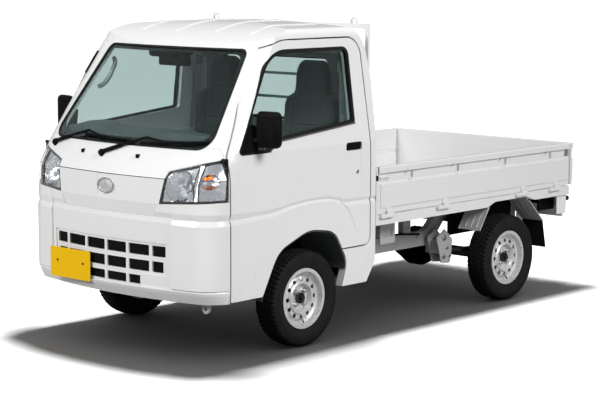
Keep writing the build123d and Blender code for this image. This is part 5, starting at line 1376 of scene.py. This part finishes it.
def addFloor():
    # The floor looks white to the camera and keeps the truck's shadow
    clearSelection()
    bpy.ops.mesh.primitive_circle_add(
        vertices=96, radius=studio["floorRadius"], fill_type="NGON", location=(0, 0, studio["floorZ"]))
    floor = bpy.context.active_object
    floor.name = "floor"
    made = newMaterial("floorWhite", "floor", studio["floorColor"], 0.75)
    point = objectPoint(made)
    reach = addNode(made, "ShaderNodeVectorMath", operation="LENGTH", Vector=point)
    lift = rangeOf(
        made, reach.outputs["Value"], studio["nearFade"], studio["farFade"], 0.0, studio["farLift"])
    seen = seenOf(made)
    setShader(
        made, Base_Color=mixOf(made, seen, studio["floorColor"], studio["seenColor"]),
        Roughness=rangeOf(made, noiseOf(made, point, 0.4, 2.0), 0.3, 0.7, 0.7, 0.8),
        Emission_Color=(1, 1, 1), Emission_Strength=mathOf(made, "MULTIPLY", lift, seen))
    floor.data.materials.append(made)


def addSky():
    # Soft light from above; the camera sees plain white
    world = bpy.data.worlds.new("studio")
    bpy.context.scene.world = world
    world.use_nodes = True
    sky = world.node_tree.nodes["Background"]
    way = addNode(world, "ShaderNodeTexCoord").outputs["Generated"]
    level = rangeOf(world, heightOf(world, way), -0.1, 0.8, studio["skyLow"], studio["skyHigh"])
    fill(world, sky.inputs["Color"], (1, 1, 1))
    fill(world, sky.inputs["Strength"], level)
    white = addNode(world, "ShaderNodeBackground", Color=(1, 1, 1))
    blendShaders(
        world, seenOf(world), sky.outputs["Background"], white.outputs["Background"], "World Output")


def addLamps():
    # One lamp casts the truck's shadow on the floor, and the others light the truck alone
    truckOnly = bpy.data.collections.new("truckOnly")
    floorOnly = bpy.data.collections.new("floorOnly")
    for thing in bpy.context.scene.objects:
        if thing.type == "MESH":
            (floorOnly if thing.name == "floor" else truckOnly).objects.link(thing)
    for name, values in studio["lamps"].items():
        lamp = bpy.data.lights.new(name, "AREA")
        lamp.shape = "DISK"
        lamp.size = values["size"]
        lamp.energy = values["power"]
        held = bpy.data.objects.new(name, lamp)
        held.location = values["place"]
        held.rotation_euler = (Vector(studio["aim"]) - held.location).to_track_quat("-Z", "Y").to_euler()
        bpy.context.scene.collection.objects.link(held)
        held.light_linking.receiver_collection = floorOnly if name == "floorLamp" else truckOnly


addFloor()
addSky()
addLamps()
bpy.context.scene.view_settings.view_transform = "Standard"
print("studio ready")
